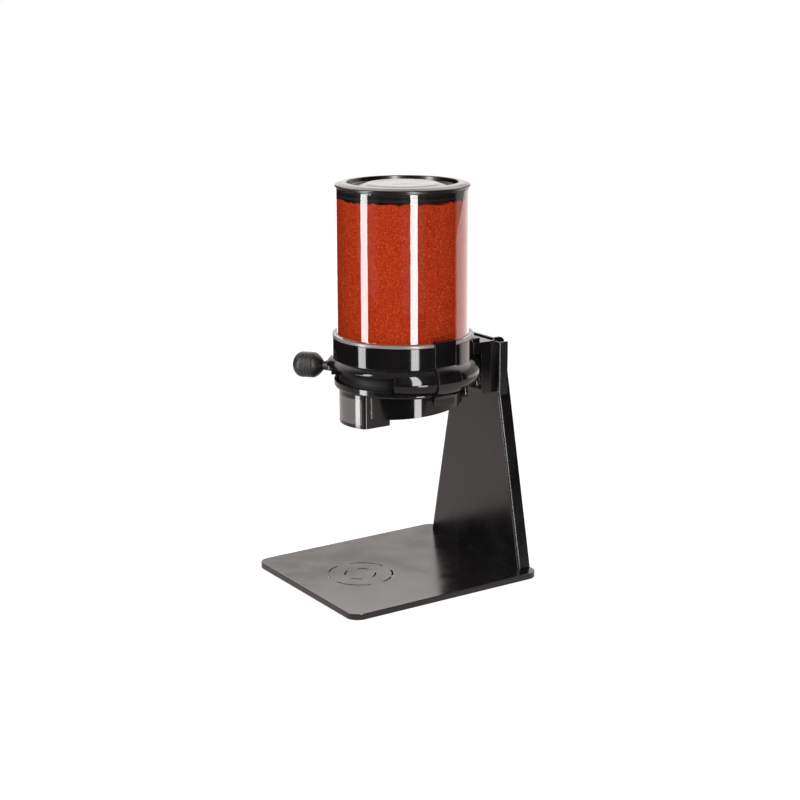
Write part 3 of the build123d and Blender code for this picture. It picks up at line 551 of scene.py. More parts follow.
@dataclass(frozen=True)
class Finish:
    """An opaque finish: colour, gloss, grain, worn edges and dust.

    Below the height matt_below it is rough and dull.
    """

    name: str
    colour: Colour
    roughness: float
    grain: Grain = Grain.MOULDED
    metallic: float = 0.0
    ior: float = 1.5
    grain_scale: float = 1500.0
    grain_depth: float = 0.01 * MM
    gloss_spread: float = 0.05
    tone_spread: float = 0.3
    edge_radius: float = 0.35 * MM
    worn_colour: Colour = (0.06, 0.058, 0.056)
    dust: float = 0.1
    shine: float = 0.5
    matt_below: float = -1.0

    def build(self) -> bpy.types.Material:
        """Make the material.

        The cloud noise spreads the tone and the gloss, and the grain noise gives the bump. Worn edges get
        the worn colour, and dust lightens faces that look up.

        Returns:
            The material.
        """
        material, sheet, end = new_material(self.name)
        grain = sheet.group(GRAIN_GROUP, Scale=self.grain_scale, Detail=self.detail)
        edges = sheet.group(EDGE_GROUP, Radius=self.edge_radius)
        dust = sheet.group(DUST_GROUP, Amount=self.dust).outputs["Mask"]
        dark = tuple(c * (1 - self.tone_spread) for c in self.colour)
        light = tuple(c * (1 + self.tone_spread) for c in self.colour)
        cloud = grain.outputs["Cloud"]
        tone = sheet.blend(sheet.ramp(cloud, CLOUD_LOW, CLOUD_HIGH), opaque(dark), opaque(light))
        tone = sheet.blend(edges.outputs["Worn"], tone, opaque(self.worn_colour))
        tone = sheet.blend(dust, self.tint(sheet, tone), opaque(DUST))
        low, high = self.roughness - self.gloss_spread, self.roughness + self.gloss_spread
        matt = sheet.math("LESS_THAN", sheet.height(), self.matt_below)
        gloss = sheet.ramp(cloud, CLOUD_LOW, CLOUD_HIGH, low, high)
        gloss = sheet.math("ADD", gloss, sheet.math("MULTIPLY", dust, DULL_ROUGHNESS))
        gloss = sheet.math("ADD", gloss, sheet.math("MULTIPLY", matt, DULL_ROUGHNESS))
        shine = sheet.ramp(matt, 0.0, 1.0, self.shine, self.shine * DULL_SHINE)
        bump = sheet.bump(grain.outputs["Height"], self.grain_depth, Normal=edges.outputs["Normal"])
        shader = sheet.add(
            "ShaderNodeBsdfPrincipled", Base_Color=tone, Metallic=self.metallic, Roughness=gloss,
            IOR=self.ior, Specular_IOR_Level=shine, Normal=bump,
        )
        sheet.feed(end, "Surface", shader.outputs[0])
        return material

    def tint(self, sheet: Sheet, tone: Socket) -> Socket:
        """Leave the tone as it is, as finishes without a label do."""
        return tone

    @property
    def detail(self) -> float:
        """Noise octaves of the grain."""
        octaves = {Grain.POWDER_COAT: 2.0, Grain.MOULDED: 1.0, Grain.SATIN: 3.0, Grain.TURNED: 4.0}
        return octaves[self.grain]


@dataclass(frozen=True)
class LabelledFinish(Finish):
    """Black gloss with a plain dark grey label on the front of the spout."""

    label: Colour = (0.05, 0.048, 0.046)
    half_width: float = 17.6 * MM
    front: float = -40.0 * MM
    top: float = 164.0 * MM
    bottom: float = 142.5 * MM

    def tint(self, sheet: Sheet, tone: Socket) -> Socket:
        """Lay the label's grey over the tone of the spout's front.

        Args:
            sheet: Sheet to add nodes to.
            tone: Colour of the finish without the label.

        Returns:
            The colour with the label.
        """
        split = sheet.add("ShaderNodeSeparateXYZ", Vector=sheet.spot())
        inside = sheet.math("LESS_THAN", sheet.math("ABSOLUTE", split.outputs["X"]), self.half_width)
        for operation, axis, limit in (
            ("LESS_THAN", "Y", self.front), ("LESS_THAN", "Z", self.top), ("GREATER_THAN", "Z", self.bottom)
        ):
            inside = sheet.math("MULTIPLY", inside, sheet.math(operation, split.outputs[axis], limit))
        return sheet.blend(inside, tone, opaque(self.label))


@dataclass(frozen=True)
class ClearFinish:
    """Clear moulded plastic, with light let through to what stands behind it.

    Between the heights edge_low and edge_high, as on a flange seen edge-on, it is grey with gathered light.
    """

    name: str = "canister_clear"
    tint: Colour = (0.985, 0.985, 0.98)
    lit_edge: Colour = (0.105, 0.1, 0.097)
    edge_low: float = 0.0
    edge_high: float = 0.0
    edge_share: float = 0.85
    edge_fade: float = 0.1 * MM
    edge_roughness: float = 0.25
    ior: float = 1.49
    smear_scale: float = 22.0
    smear_depth: float = 0.004 * MM
    smear_from: float = 0.4
    smear_to: float = 0.8
    smear_roughness: float = 0.01

    def build(self) -> bpy.types.Material:
        """Make the material, which shadow rays and scattered light pass straight through.

        Returns:
            The material.
        """
        material, sheet, end = new_material(self.name)
        grain = sheet.group(GRAIN_GROUP, Scale=self.smear_scale, Detail=2.0)
        cloud = grain.outputs["Cloud"]
        smear = sheet.ramp(cloud, self.smear_from, self.smear_to, 0.0, self.smear_roughness)
        shader = sheet.add(
            "ShaderNodeBsdfPrincipled", Base_Color=opaque(self.tint), Roughness=smear, IOR=self.ior,
            Transmission_Weight=1.0, Normal=sheet.bump(grain.outputs["Height"], self.smear_depth),
        )
        height = sheet.height()
        above = sheet.ramp(height, self.edge_low - self.edge_fade, self.edge_low, 0.0, self.edge_share)
        below = sheet.ramp(height, self.edge_high, self.edge_high + self.edge_fade, 1.0, 0.0)
        edge = sheet.add(
            "ShaderNodeBsdfPrincipled", Base_Color=opaque(self.lit_edge), Roughness=self.edge_roughness,
            IOR=self.ior,
        )
        body = sheet.mix(sheet.math("MULTIPLY", above, below), shader, edge)
        clear = sheet.add("ShaderNodeBsdfTransparent", Color=opaque(self.tint))
        mixed = sheet.mix(sheet.rays("Shadow", "Diffuse", "Glossy"), body, clear)
        sheet.feed(end, "Surface", mixed.outputs[0])
        return material


@dataclass(frozen=True)
class SpiceFinish:
    """Ground red spice: soft grains of several reds, with pale and dark flecks."""

    name: str = "ground_spice"
    deep: Colour = (0.125, 0.008, 0.0015)
    warm: Colour = (0.175, 0.0125, 0.003)
    pale: Colour = (0.32, 0.06, 0.016)
    grain_scale: float = 1150.0
    clump_scale: float = 260.0
    grain_depth: float = 0.35 * MM
    bump_strength: float = 0.8
    cell_share: float = 0.6
    deep_share: float = 0.9
    pale_share: float = 0.75
    roughness: float = 0.95
    ior: float = 1.35
    shine: float = 0.05

    def build(self) -> bpy.types.Material:
        """Make the material.

        Clumps blend the two main reds. Low grain noise gives dark flecks and high grain noise pale ones.
        Grain and cells together give the bump.

        Returns:
            The material.
        """
        clump_from, clump_to = 0.35, 0.65
        deep_from, deep_to = 0.36, 0.5
        pale_from, pale_to = 0.54, 0.68
        material, sheet, end = new_material(self.name)
        spot = sheet.spot()
        clump = sheet.noise(spot, self.clump_scale, detail=4.0, roughness=0.65)
        grain = sheet.noise(spot, self.grain_scale, detail=2.0, roughness=0.6)
        cells = sheet.add("ShaderNodeTexVoronoi", Vector=spot, Scale=self.grain_scale).outputs["Distance"]
        tone = sheet.blend(sheet.ramp(clump, clump_from, clump_to), opaque(self.deep), opaque(self.warm))
        dark_flecks = sheet.ramp(grain, deep_from, deep_to, self.deep_share, 0.0)
        tone = sheet.blend(dark_flecks, tone, opaque(self.deep))
        pale_flecks = sheet.ramp(grain, pale_from, pale_to, 0.0, self.pale_share)
        tone = sheet.blend(pale_flecks, tone, opaque(self.pale))
        height = sheet.math("ADD", grain, sheet.math("MULTIPLY", cells, self.cell_share))
        bump = sheet.bump(height, self.grain_depth, Strength=self.bump_strength)
        shader = sheet.add(
            "ShaderNodeBsdfPrincipled", Base_Color=tone, Roughness=self.roughness, IOR=self.ior,
            Specular_IOR_Level=self.shine, Normal=bump,
        )
        sheet.feed(end, "Surface", shader.outputs[0])
        return material


AnyFinish = Finish | ClearFinish | SpiceFinish


def dress(piece: Piece, finish: AnyFinish) -> None:
    """Give a piece the material of a finish, which is built on its first use.

    Args:
        piece: Piece to dress.
        finish: Finish that it gets.
    """
    material = bpy.data.materials.get(finish.name) or finish.build()
    if not piece.material_slots:
        piece.data.materials.append(material)
    for slot in piece.material_slots:
        slot.material = material


def dress_nodes(finishes: dict[str, Finish]) -> None:
    """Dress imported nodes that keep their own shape.

    Args:
        finishes: Finish of each node, by the node's name.
    """
    for node, finish in finishes.items():
        dress(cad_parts[node], finish)
        log.info("node %s dressed in %s", node, finish.name)


def place(piece: Piece, finish: AnyFinish, body: str, node: str) -> None:
    """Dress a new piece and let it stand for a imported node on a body.

    Args:
        piece: The new piece.
        finish: Finish that it gets.
        body: Body that it moves with.
        node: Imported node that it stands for.
    """
    dress(piece, finish)
    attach(piece, body)
    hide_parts(node)
    log.info("piece %s stands for %s on body %s", piece.name, node, body)


# Sub-assemblies


@dataclass
class Stand:
    """Base plate, upright and saddle in black powder coat, with their fasteners."""

    coat_scale: float = 1300.0
    coat_depth: float = 0.02 * MM

    def coat(self, name: str, roughness: float) -> Finish:
        """Black powder coat of one piece."""
        grain = {"grain_scale": self.coat_scale, "grain_depth": self.coat_depth}
        return Finish(name, BLACK, roughness, Grain.POWDER_COAT, **grain)

    def dress(self) -> None:
        """Dress the stand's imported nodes."""
        coats = {
            "base_plate": self.coat("coat_plate", 0.17),
            "upright": self.coat("coat_upright", 0.24),
            "saddle": self.coat("coat_saddle", 0.26),
        }
        rubber = Finish("feet_rubber", RUBBER, 0.7, Grain.SATIN, grain_depth=0.03 * MM)
        steel = Finish(
            "screw_steel", (0.55, 0.55, 0.54), 0.28, Grain.TURNED, metallic=1.0, worn_colour=WORN_STEEL
        )
        dark_steel = Finish(
            "screw_black", (0.012, 0.012, 0.013), 0.5, Grain.TURNED, metallic=0.3, shine=0.2
        )
        dress_nodes(coats | {
            "rubber_feet": rubber, "base_screws": steel, "base_nuts": steel, "bracket_washers": steel,
            "bracket_screws": dark_steel, "arm_screws": dark_steel,
        })


@dataclass
class MeteringHead:
    """Arm, housings, straps, rotor and the shaft group inside."""

    def dress(self) -> None:
        """Dress the head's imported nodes."""
        fine = {"grain_depth": 0.006 * MM, "gloss_spread": 0.02}
        coarse = {"grain_depth": 0.008 * MM, "gloss_spread": 0.03}
        gloss = Finish("housing_gloss", BLACK, 0.07, grain_scale=120.0, shine=0.3, **fine)
        outlet = LabelledFinish("outlet_gloss", BLACK, 0.08, grain_scale=110.0, shine=0.38, **fine)
        strap = Finish("strap_gloss", BLACK, 0.1, grain_scale=140.0, **coarse)
        arm = Finish("arm_gloss", BLACK, 0.12, grain_scale=200.0, **coarse)
        satin = Finish("rotor_satin", BLACK, 0.5, Grain.SATIN, grain_depth=0.006 * MM, shine=0.15)
        white = Finish("inner_white", (0.75, 0.75, 0.73), 0.35, Grain.SATIN, worn_colour=(0.6, 0.6, 0.58))
        steel = Finish(
            "shaft_steel", (0.6, 0.6, 0.58), 0.22, Grain.TURNED, metallic=1.0, worn_colour=WORN_STEEL
        )
        dark_steel = Finish("housing_screw_black", BLACK, 0.6, Grain.TURNED, shine=0.15)
        bronze = Finish(
            "bush_bronze", (0.45, 0.27, 0.1), 0.4, Grain.TURNED, metallic=1.0, worn_colour=(0.6, 0.4, 0.2)
        )
        rubber = Finish("seal_rubber", RUBBER, 0.6, Grain.SATIN, grain_depth=0.02 * MM)
        dull_rubber = Finish(
            "lid_seal_rubber", BLACK, 0.9, Grain.SATIN, grain_depth=0.02 * MM, shine=0.05, dust=0.0
        )
        dress_nodes({
            "metering_housing": gloss, "outlet_housing": outlet, "bracket_arm": arm, "rotor": satin,
            "side_strap_left": strap, "side_strap_right": strap, "hopper_floor": white, "stirrer": white,
            "thrust_washer": white, "lower_bush": bronze, "upper_bush": bronze, "rotor_shaft": steel,
            "drive_pin": steel, "shaft_circlip": steel, "stirrer_nut": steel, "floor_screws": steel,
            "housing_screws": dark_steel, "shaft_seal": rubber, "canister_gasket": rubber,
            "lid_seal": dull_rubber,
        })


@dataclass
class Lever:
    """Lever arm and its turned knob."""

    grip_taper: float = 8.8 * MM
    shoulder_power: float = 1.6
    end_length: float = 8.7 * MM
    neck_radius: float = 3.8 * MM
    bore_radius: float = 2.6 * MM
    bore_depth: float = 14.0 * MM
    ring_count: int = 3
    ring_start: float = 1.2 * MM
    ring_pitch: float = 2.9 * MM
    ring_depth: float = 0.35 * MM
    ring_width: float = 1.9 * MM
    shoulder_points: int = 20
    grip_points: int = 90
    end_points: int = 22
    steps: int = 96

    def knob(self) -> Piece:
        """Turn the knob about the lever's own line.

        The outline is a rounded shoulder from the neck, a straight grip with grooves of cosine section, and
        a quarter ellipse at the end. It returns along the bore for the stud.

        Returns:
            The knob.
        """
        axis_point = Span.of("canister").axis
        box = Span.of("knob")
        level = (box.low.z + box.high.z) / 2
        origin = Vector((axis_point.x, axis_point.y, level))
        out = (box.low + box.high) / 2 - origin
        direction = Vector((out.x, out.y, 0.0)).normalized()
        start, tip = reach("knob", origin, direction)
        radius = (box.high.z - box.low.z) / 2
        grip_start = start + self.grip_taper
        grip_end = tip - self.end_length
        climb = np.linspace(0, 1, self.shoulder_points)
        back_x = start + self.grip_taper * climb
        back_r = self.neck_radius + (radius - self.neck_radius) * (1 - (1 - climb) ** self.shoulder_power)
        grip_x = np.linspace(grip_start, grip_end, self.grip_points)[1:-1]
        ring = (grip_x - grip_start - self.ring_start) / self.ring_pitch
        nearest = np.clip(np.round(ring), 0, self.ring_count - 1)
        off = (ring - nearest) * self.ring_pitch / self.ring_width
        groove = np.where(np.abs(off) < 0.5, 0.5 + 0.5 * np.cos(2 * math.pi * off), 0.0)
        grip_r = radius - self.ring_depth * groove
        turn_out = np.linspace(0, math.pi / 2, self.end_points)
        end_x = grip_end + self.end_length * np.sin(turn_out)
        end_r = radius * np.cos(turn_out)
        bore_end = start + self.bore_depth
        bore_x = np.array([bore_end, bore_end, start])
        bore_r = np.array([0.0, self.bore_radius, self.bore_radius])
        height = np.concatenate([back_x, grip_x, end_x, bore_x])
        wide = np.concatenate([back_r, grip_r, end_r, bore_r])
        grid = turn(np.stack([wide, height], axis=1), origin, direction, self.steps)
        return mesh_from_grid("lever_knob", grid)

    def dress(self) -> None:
        """Build the knob and dress the lever."""
        satin = Finish(
            "knob_satin", (0.011, 0.0102, 0.01), 0.36, Grain.SATIN,
            grain_scale=1800.0, grain_depth=0.004 * MM, shine=0.22,
        )
        arm = Finish(
            "lever_satin", BLACK, 0.3, Grain.SATIN, grain_scale=900.0, grain_depth=0.008 * MM, shine=0.25
        )
        steel = Finish("lever_steel", (0.5, 0.5, 0.5), 0.3, Grain.TURNED, metallic=1.0)
        place(self.knob(), satin, "rotor", "knob")
        dress_nodes({"lever_arm": arm, "lever_screws": steel, "knob_stud": steel})


@dataclass
class Canister:
    """Clear canister with the flange that it stands on, and the spice in it."""

    lid_overhang: float = 1.0 * MM
    wall: float = 3.0 * MM
    flange_height: float = 2.5 * MM
    steps: int = 256
    neck_height: float = 3.8 * MM
    neck_inset: float = 1.0 * MM
    room_radius: float = 44.5 * MM
    room_height: float = 18.7 * MM
    heap: float = 2.2 * MM
    heap_level: float = 0.45
    lump_waves: int = 16
    lump_small: float = 5.0 * MM
    lump_large: float = 26.0 * MM
    ripple: float = 0.12 * MM
    ripple_counts: tuple[int, int, int] = (5, 60, 2)
    ripple_tilt: float = 0.06
    tilt_rows: int = 6
    fade_rows: int = 4
    seed: int = 7
    fill_steps: int = 360
    side_rows: int = 130
    top_rows: int = 50

    def shell(self) -> Piece:
        """Turn the canister's wall, with a rounded top and the flange that rests on the collar.

        Returns:
            The canister.
        """
        box = Span.of("canister")
        radius = Span.of("lid").radius - self.lid_overhang
        bore = radius - self.wall
        flange_low = Span.of("metering_housing").high.z
        flange_high = flange_low + self.flange_height
        outline = (
            (radius, box.low.z, 0.3), (radius, flange_low, 0.0), (box.radius, flange_low, 0.3),
            (box.radius, flange_high, 0.9), (radius, flange_high, 0.8), (radius, box.high.z, 0.8),
            (bore, box.high.z, 0.8), (bore, box.low.z, 0.3),
        )
        return turned_piece("clear_canister", outline, box.axis, self.steps, sharp_degrees=60.0)

    def fill(self) -> Piece:
        """Turn the spice, with a heaped top and slightly uneven sides.

        The side's radius gets a sum of sine waves round the axis, slanted and faded out at both ends. The
        top's height gets a sum of waves that run across it in many directions. All phases are seeded.

        Returns:
            The spice.
        """
        box = Span.of("powder_fill")
        radius = box.radius
        neck = box.low.z + self.neck_height
        side_z = np.linspace(neck, box.high.z - self.heap, self.side_rows)
        top_r = np.linspace(1, 0, self.top_rows)[1:] * radius
        room_top = box.low.z + self.room_height
        neck_radius = radius - self.neck_inset
        start_r = [0.0, self.room_radius, self.room_radius, neck_radius, neck_radius]
        start_z = [room_top, room_top, box.low.z, box.low.z, neck]
        wide = np.concatenate([start_r, np.full(self.side_rows, radius), top_r])
        high = np.concatenate([start_z, side_z, np.full(len(top_r), box.high.z - self.heap)])
        grid = turn(np.stack([wide, high], axis=1), box.axis, Vector((0, 0, 1)), self.fill_steps)
        angle = np.linspace(0, 2 * math.pi, self.fill_steps, endpoint=False)[:, None]
        draw = np.random.default_rng(self.seed)
        first_side = len(start_r)
        first_top = first_side + self.side_rows
        waves = np.arange(*self.ripple_counts)
        phase = draw.uniform(0, 2 * math.pi, len(waves))
        tilt = draw.uniform(-1, 1, len(waves)) * self.ripple_tilt
        rows = np.arange(self.side_rows)[None, :]
        slant = rows / self.tilt_rows
        side = sum(np.sin(n * angle + tilt[i] * n * slant + phase[i]) for i, n in enumerate(waves))
        side = side / len(waves) ** 0.5 * self.ripple
        rows_left = self.side_rows - 1 - rows
        fade = np.minimum(rows / self.fade_rows, 1) * np.minimum(rows_left / self.fade_rows, 1)
        outward = (grid[:, first_side:first_top, :2] - np.array(box.axis)[:2]) / radius
        grid[:, first_side:first_top, :2] -= outward * np.abs(side * fade)[:, :, None]
        flat = grid[:, first_top - 1:, :2]
        bearing, shift = draw.uniform(0, 2 * math.pi, (2, self.lump_waves))
        pitch = draw.uniform(self.lump_small, self.lump_large, self.lump_waves)
        travel = flat[..., 0, None] * np.cos(bearing) + flat[..., 1, None] * np.sin(bearing)
        lump = np.sin(2 * math.pi * travel / pitch + shift).sum(axis=-1) / self.lump_waves ** 0.5
        grid[:, first_top - 1:, 2] += self.heap * np.clip(self.heap_level * (1 + lump), 0, 1)
        grid[:, -1, 2] = grid[:, -1, 2].mean()
        return mesh_from_grid("spice_fill", grid, sharp_degrees=70.0)

    def dress(self) -> None:
        """Build and dress the canister and the spice."""
        flange_low = Span.of("metering_housing").high.z
        clear = ClearFinish(edge_low=flange_low, edge_high=flange_low + self.flange_height)
        place(self.shell(), clear, "stand", "canister")
        place(self.fill(), SpiceFinish(), "stand", "powder_fill")


@dataclass
class Lid:
    """Black push-in lid with a sloping rim, a recess and a raised middle."""

    overhang: float = 1.0 * MM
    rim_height: float = 4.7 * MM
    rim_width: float = 9.8 * MM
    rim_fall: float = 2.2 * MM
    recess: float = 4.2 * MM
    recess_width: float = 7.8 * MM
    disc_slope: float = 9.4 * MM
    disc_drop: float = 1.2 * MM
    thickness: float = 2.2 * MM
    step: float = 1.0 * MM
    draft: float = 1.0 * MM
    ledge_width: float = 0.5 * MM
    canister_wall: float = 3.0 * MM
    skirt_gap: float = 1.0 * MM
    skirt_wall: float = 2.6 * MM
    steps: int = 256
    arc_steps: int = 7

    def shell(self) -> Piece:
        """Turn the lid: a raised disc, a recess, a rim that slopes down outwards, and the skirt below.

        Returns:
            The lid.
        """
        box = Span.of("lid")
        radius = box.radius
        top, skirt_end = box.high.z, box.low.z
        shelf = top - self.rim_height
        rim_bore = radius - self.rim_width
        slope_end = rim_bore - self.recess_width
        disc_radius = slope_end - self.disc_slope
        floor = top - self.recess
        disc = top - self.disc_drop
        ledge = radius - self.overhang - self.ledge_width
        skirt = radius - self.overhang - self.canister_wall - self.skirt_gap
        skirt_bore = skirt - self.skirt_wall
        under = floor - self.thickness
        disc_under = disc - self.thickness
        outline = (
            (0.0, disc_under, 0.0), (0.0, disc, 0.0), (disc_radius, disc, 1.6), (slope_end, floor, 1.6),
            (rim_bore - self.draft, floor, 1.2), (rim_bore, top, 0.9),
            (radius - self.rim_width / 2, top - self.rim_fall / 4, 1.5), (radius, top - self.rim_fall, 1.6),
            (radius, shelf + self.step, 0.5), (ledge, shelf + self.step, 0.1), (ledge, shelf, 0.1),
            (skirt, shelf, 0.3), (skirt, skirt_end, 0.6), (skirt_bore, skirt_end, 0.6),
            (skirt_bore, under, 0.6), (slope_end - self.draft, under, 1.0),
            (disc_radius - self.draft, disc_under, 1.0),
        )
        return turned_piece("push_in_lid", outline, box.axis, self.steps, self.arc_steps)

    def dress(self) -> None:
        """Build and dress the lid."""
        shelf = Span.of("lid").high.z - self.rim_height
        gloss = Finish(
            "lid_satin", BLACK, 0.24, grain_scale=100.0, grain_depth=0.006 * MM,
            gloss_spread=0.03, dust=0.05, matt_below=shelf,
        )
        place(self.shell(), gloss, "lid", "lid")


# Studio


@dataclass(frozen=True)
class Viewpoint:
    """The photograph's camera."""

    azimuth: float = 56.618
    pitch: float = 13.979
    roll: float = 0.176
    focal_pixels: float = 1622.32
    position: tuple[float, float, float] = (1.113622, -0.729278, 0.485848)
    middle_pixel: tuple[float, float] = (400.57, 399.88)
    sensor: float = 36.0
    clip_start: float = 0.05
    clip_end: float = 50.0

    def build(self) -> None:
        """Place the camera and make it the scene's own."""
        side = math.radians(self.azimuth)
        tip = math.radians(self.pitch)
        level = math.cos(tip)
        forward = Vector((-math.sin(side) * level, math.cos(side) * level, -math.sin(tip)))
        right = Vector((math.cos(side), math.sin(side), 0.0))
        down = forward.cross(right)
        lean = math.radians(self.roll)
        right_leant = right * math.cos(lean) + down * math.sin(lean)
        up_leant = right * math.sin(lean) - down * math.cos(lean)
        data = bpy.data.cameras.new("photo_camera")
        data.sensor_width = self.sensor
        data.lens = self.sensor * self.focal_pixels / PHOTO_SIDE
        data.shift_x = (PHOTO_SIDE / 2 - self.middle_pixel[0]) / PHOTO_SIDE
        data.shift_y = (self.middle_pixel[1] - PHOTO_SIDE / 2) / PHOTO_SIDE
        data.clip_start = self.clip_start
        data.clip_end = self.clip_end
        camera = new_object("photo_camera", data)
        axes = Matrix((right_leant, up_leant, -forward)).transposed()
        camera.matrix_world = Matrix.Translation(self.position) @ axes.to_4x4()
        bpy.context.scene.camera = camera


@dataclass(frozen=True)
class SoftBox:
    """A lamp panel that faces the head's axis, between two angles about it and two heights."""

    name: str
    first_angle: float
    last_angle: float
    low: float
    high: float
    distance: float
    brightness: float
    power_factor: float = 4.0

    def build(self, front: float, axis: Vector) -> None:
        """Place the panel.

        Args:
            front: Angle that the panel's own angles are counted from.
            axis: Point on the floor under the head's axis.
        """
        half = math.radians((self.last_angle - self.first_angle) / 2)
        away = heading((self.first_angle + self.last_angle) / 2 + front)
        data = bpy.data.lights.new(self.name, "AREA")
        data.shape = "RECTANGLE"
        data.size = 2 * self.distance * math.tan(half)
        data.size_y = self.high - self.low
        data.energy = self.brightness * self.power_factor * data.size * data.size_y
        lamp = new_object(self.name, data)
        lamp.location = axis + away * self.distance + Vector((0, 0, (self.high + self.low) / 2))
        lamp.rotation_euler = away.to_track_quat("Z", "Y").to_euler()
        lamp.visible_camera = False


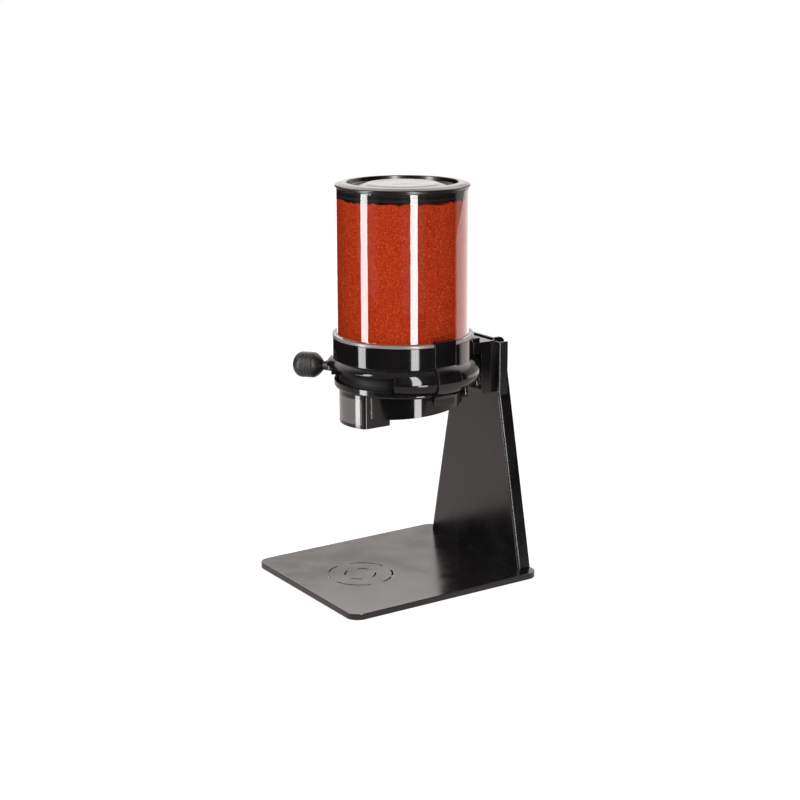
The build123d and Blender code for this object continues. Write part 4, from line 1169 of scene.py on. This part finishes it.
@dataclass(frozen=True)
class Studio:
    """White surroundings behind the object, dark ones in front, and lamp panels on both sides."""

    view: Viewpoint = field(default_factory=Viewpoint)
    ambient: float = 0.4
    dark_side: float = 0.01
    overhead: float = 0.5
    overhead_low: float = 0.65
    overhead_high: float = 0.95
    sky: float = 2.0
    sky_low: float = 0.36
    sky_high: float = 0.48
    sky_middle: float = 180.0
    sky_inner: float = 42.0
    sky_outer: float = 92.0
    backdrop: float = 1.02
    backdrop_low: float = 2.7
    backdrop_middle: float = 153.0
    backdrop_half_width: float = 48.5
    backdrop_edge: float = 5.0
    glow: float = 0.3
    glow_middles: tuple[float, float] = (-64.5, 18.0)
    glow_inner: float = 9.0
    glow_outer: float = 26.0
    floor_side: float = 12.0
    floor_white: float = 0.88
    floor_shade: Colour = (0.3, 0.3, 0.3)
    floor_scatter: Colour = (0.8, 0.8, 0.8)
    table_radius: float = 0.7
    table_front: float = 0.47
    table_fade: float = 0.12
    table_bright: float = 0.92
    warm_sky: Colour = (1.0, 0.93, 0.9)
    warm_table: Colour = (1.0, 0.88, 0.87)

    def sector(self, sheet: Sheet, direction: object, middle: float, inner: float, outer: float) -> Socket:
        """Mask a sector of level directions, 1 inside its inner half-width and 0 past its outer one.

        Args:
            sheet: Sheet to add nodes to.
            direction: Socket of the direction.
            middle: Angle of the sector's middle from the camera's direction.
            inner: Half-width in degrees up to which the mask is 1.
            outer: Half-width in degrees from which the mask is 0.

        Returns:
            Socket of the mask.
        """
        split = sheet.add("ShaderNodeSeparateXYZ", Vector=direction)
        level = sheet.add("ShaderNodeCombineXYZ", X=split.outputs["X"], Y=split.outputs["Y"])
        flat = sheet.add("ShaderNodeVectorMath", {"operation": "NORMALIZE"})
        sheet.feed(flat, 0, level.outputs[0])
        likeness = sheet.vector("DOT_PRODUCT", flat.outputs[0], heading(self.view.azimuth + middle))
        start, end = math.cos(math.radians(outer)), math.cos(math.radians(inner))
        return sheet.ramp(likeness, start, end)

    def backdrop_mask(self, sheet: Sheet, direction: object) -> Socket:
        """Mask the directions in which the white backdrop stands.

        Args:
            sheet: Sheet to add nodes to.
            direction: Socket of the direction.

        Returns:
            Socket of the mask.
        """
        inner = self.backdrop_half_width - self.backdrop_edge
        outer = self.backdrop_half_width + self.backdrop_edge
        return self.sector(sheet, direction, self.backdrop_middle, inner, outer)

    def world(self) -> None:
        """Build the surroundings.

        Camera and transmitted rays meet plain white. Mirrored rays meet white in a wide sector behind the
        object, two faint glows in front, a bright sky behind it and a dark room elsewhere. Scattered light
        comes evenly from all sides.
        """
        world = bpy.data.worlds.new("studio")
        world.use_nodes = True
        world.node_tree.nodes.clear()
        sheet = Sheet(world.node_tree)
        direction = sheet.add("ShaderNodeTexCoord").outputs["Generated"]
        height = sheet.add("ShaderNodeSeparateXYZ", Vector=direction).outputs["Z"]
        white = sheet.math("MULTIPLY", self.backdrop_mask(sheet, direction), self.backdrop)
        for middle in self.glow_middles:
            spread = self.sector(sheet, direction, middle, self.glow_inner, self.glow_outer)
            white = sheet.math("ADD", white, sheet.math("MULTIPLY", spread, self.glow))
        upper = self.sector(sheet, direction, self.sky_middle, self.sky_inner, self.sky_outer)
        rise = sheet.ramp(height, self.sky_low, self.sky_high, 0.0, self.sky)
        white = sheet.math("ADD", white, sheet.math("MULTIPLY", upper, rise))
        above = sheet.ramp(height, self.overhead_low, self.overhead_high)
        near_top = sheet.math("MULTIPLY", above, self.overhead)
        rest = sheet.math("MULTIPLY", white, sheet.math("SUBTRACT", 1.0, above))
        mirrored = sheet.math("ADD", sheet.math("ADD", rest, near_top), self.dark_side)
        glossy = sheet.rays("Glossy")
        plain = sheet.math("MULTIPLY", sheet.rays("Diffuse"), self.ambient)
        hidden = sheet.math("ADD", sheet.math("MULTIPLY", glossy, mirrored), plain)
        seen = sheet.rays("Camera", "Transmission")
        hidden = sheet.math("MULTIPLY", hidden, sheet.math("SUBTRACT", 1.0, seen))
        strength = sheet.math("ADD", hidden, seen)
        tint = sheet.blend(glossy, opaque((1.0, 1.0, 1.0)), opaque(self.warm_sky))
        background = sheet.add("ShaderNodeBackground", Color=tint, Strength=strength)
        end = sheet.add("ShaderNodeOutputWorld")
        sheet.feed(end, "Surface", background.outputs[0])
        bpy.context.scene.world = world

    def floor(self, axis: Vector) -> None:
        """Lay the pale floor, white to the camera but for the object's shadow.

        Mirrored rays meet a bright round table, cut off towards the camera, and past it the foot of the
        backdrop.

        Args:
            axis: Point on the floor under the head's axis.
        """
        half = self.floor_side / 2
        square = [(-half, -half, 0), (half, -half, 0), (half, half, 0), (-half, half, 0)]
        mesh = bpy.data.meshes.new("floor")
        mesh.from_pydata(square, [], [(0, 1, 2, 3)])
        floor = new_object("floor", mesh)
        material, sheet, end = new_material("pale_floor")
        spot = sheet.spot()
        offset = sheet.vector("DISTANCE", spot, axis)
        towards = sheet.vector("DOT_PRODUCT", spot, heading(self.view.azimuth))
        fade_end = self.table_radius + self.table_fade
        front_end = self.table_front + self.table_fade / 2
        near = sheet.ramp(towards, self.table_front, front_end, self.table_bright, self.dark_side)
        table = sheet.ramp(offset, self.table_radius, fade_end, self.table_bright, self.dark_side)
        table = sheet.math("MINIMUM", table, near)
        outside = sheet.ramp(offset, self.table_radius, fade_end, 0.0, self.backdrop_low)
        foot = sheet.math("MULTIPLY", outside, self.backdrop_mask(sheet, spot))
        glow = sheet.math("MAXIMUM", table, foot)
        mirrored = sheet.add("ShaderNodeEmission", Color=opaque(self.warm_table), Strength=glow)
        scattered = sheet.add("ShaderNodeBsdfDiffuse", Color=opaque(self.floor_scatter))
        white = sheet.add("ShaderNodeEmission", Strength=self.floor_white)
        shaded = sheet.add("ShaderNodeBsdfDiffuse", Color=opaque(self.floor_shade))
        seen = sheet.add("ShaderNodeAddShader")
        sheet.feed(seen, 0, white.outputs[0])
        sheet.feed(seen, 1, shaded.outputs[0])
        hidden = sheet.mix(sheet.rays("Glossy"), scattered, mirrored)
        last = sheet.mix(sheet.rays("Camera", "Transmission"), hidden, seen)
        sheet.feed(end, "Surface", last.outputs[0])
        mesh.materials.append(material)

    def build(self) -> None:
        """Build the camera, the surroundings, the floor and the lamps."""
        axis = Span.of("canister").axis
        self.view.build()
        self.world()
        self.floor(axis)
        # Name, first and last angle, low and high edge, distance, brightness
        panels = (
            SoftBox("left_panel", -71.5, -58.5, 0.04, 0.72, 0.42, 14.5),
            SoftBox("right_panel", 12.3, 23.8, 0.095, 0.72, 0.42, 18.0),
            SoftBox("low_panel", 20.7, 33.3, 0.01, 0.085, 0.42, 15.0),
            SoftBox("back_panel", 168.0, 196.0, 0.42, 0.8, 1.0, 0.8),
        )
        for panel in panels:
            panel.build(self.view.azimuth, axis)
        bpy.context.scene.view_settings.view_transform = "Standard"


def main() -> None:
    """Build the studio and the sub-assemblies in order."""
    logging.basicConfig(level=logging.INFO, format="%(name)s: %(message)s")
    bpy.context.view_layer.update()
    Studio().build()
    for part in (Stand(), MeteringHead(), Lever(), Canister(), Lid()):
        part.dress()
        log.info("%s is done", type(part).__name__)


if __name__ == "__main__":
    main()
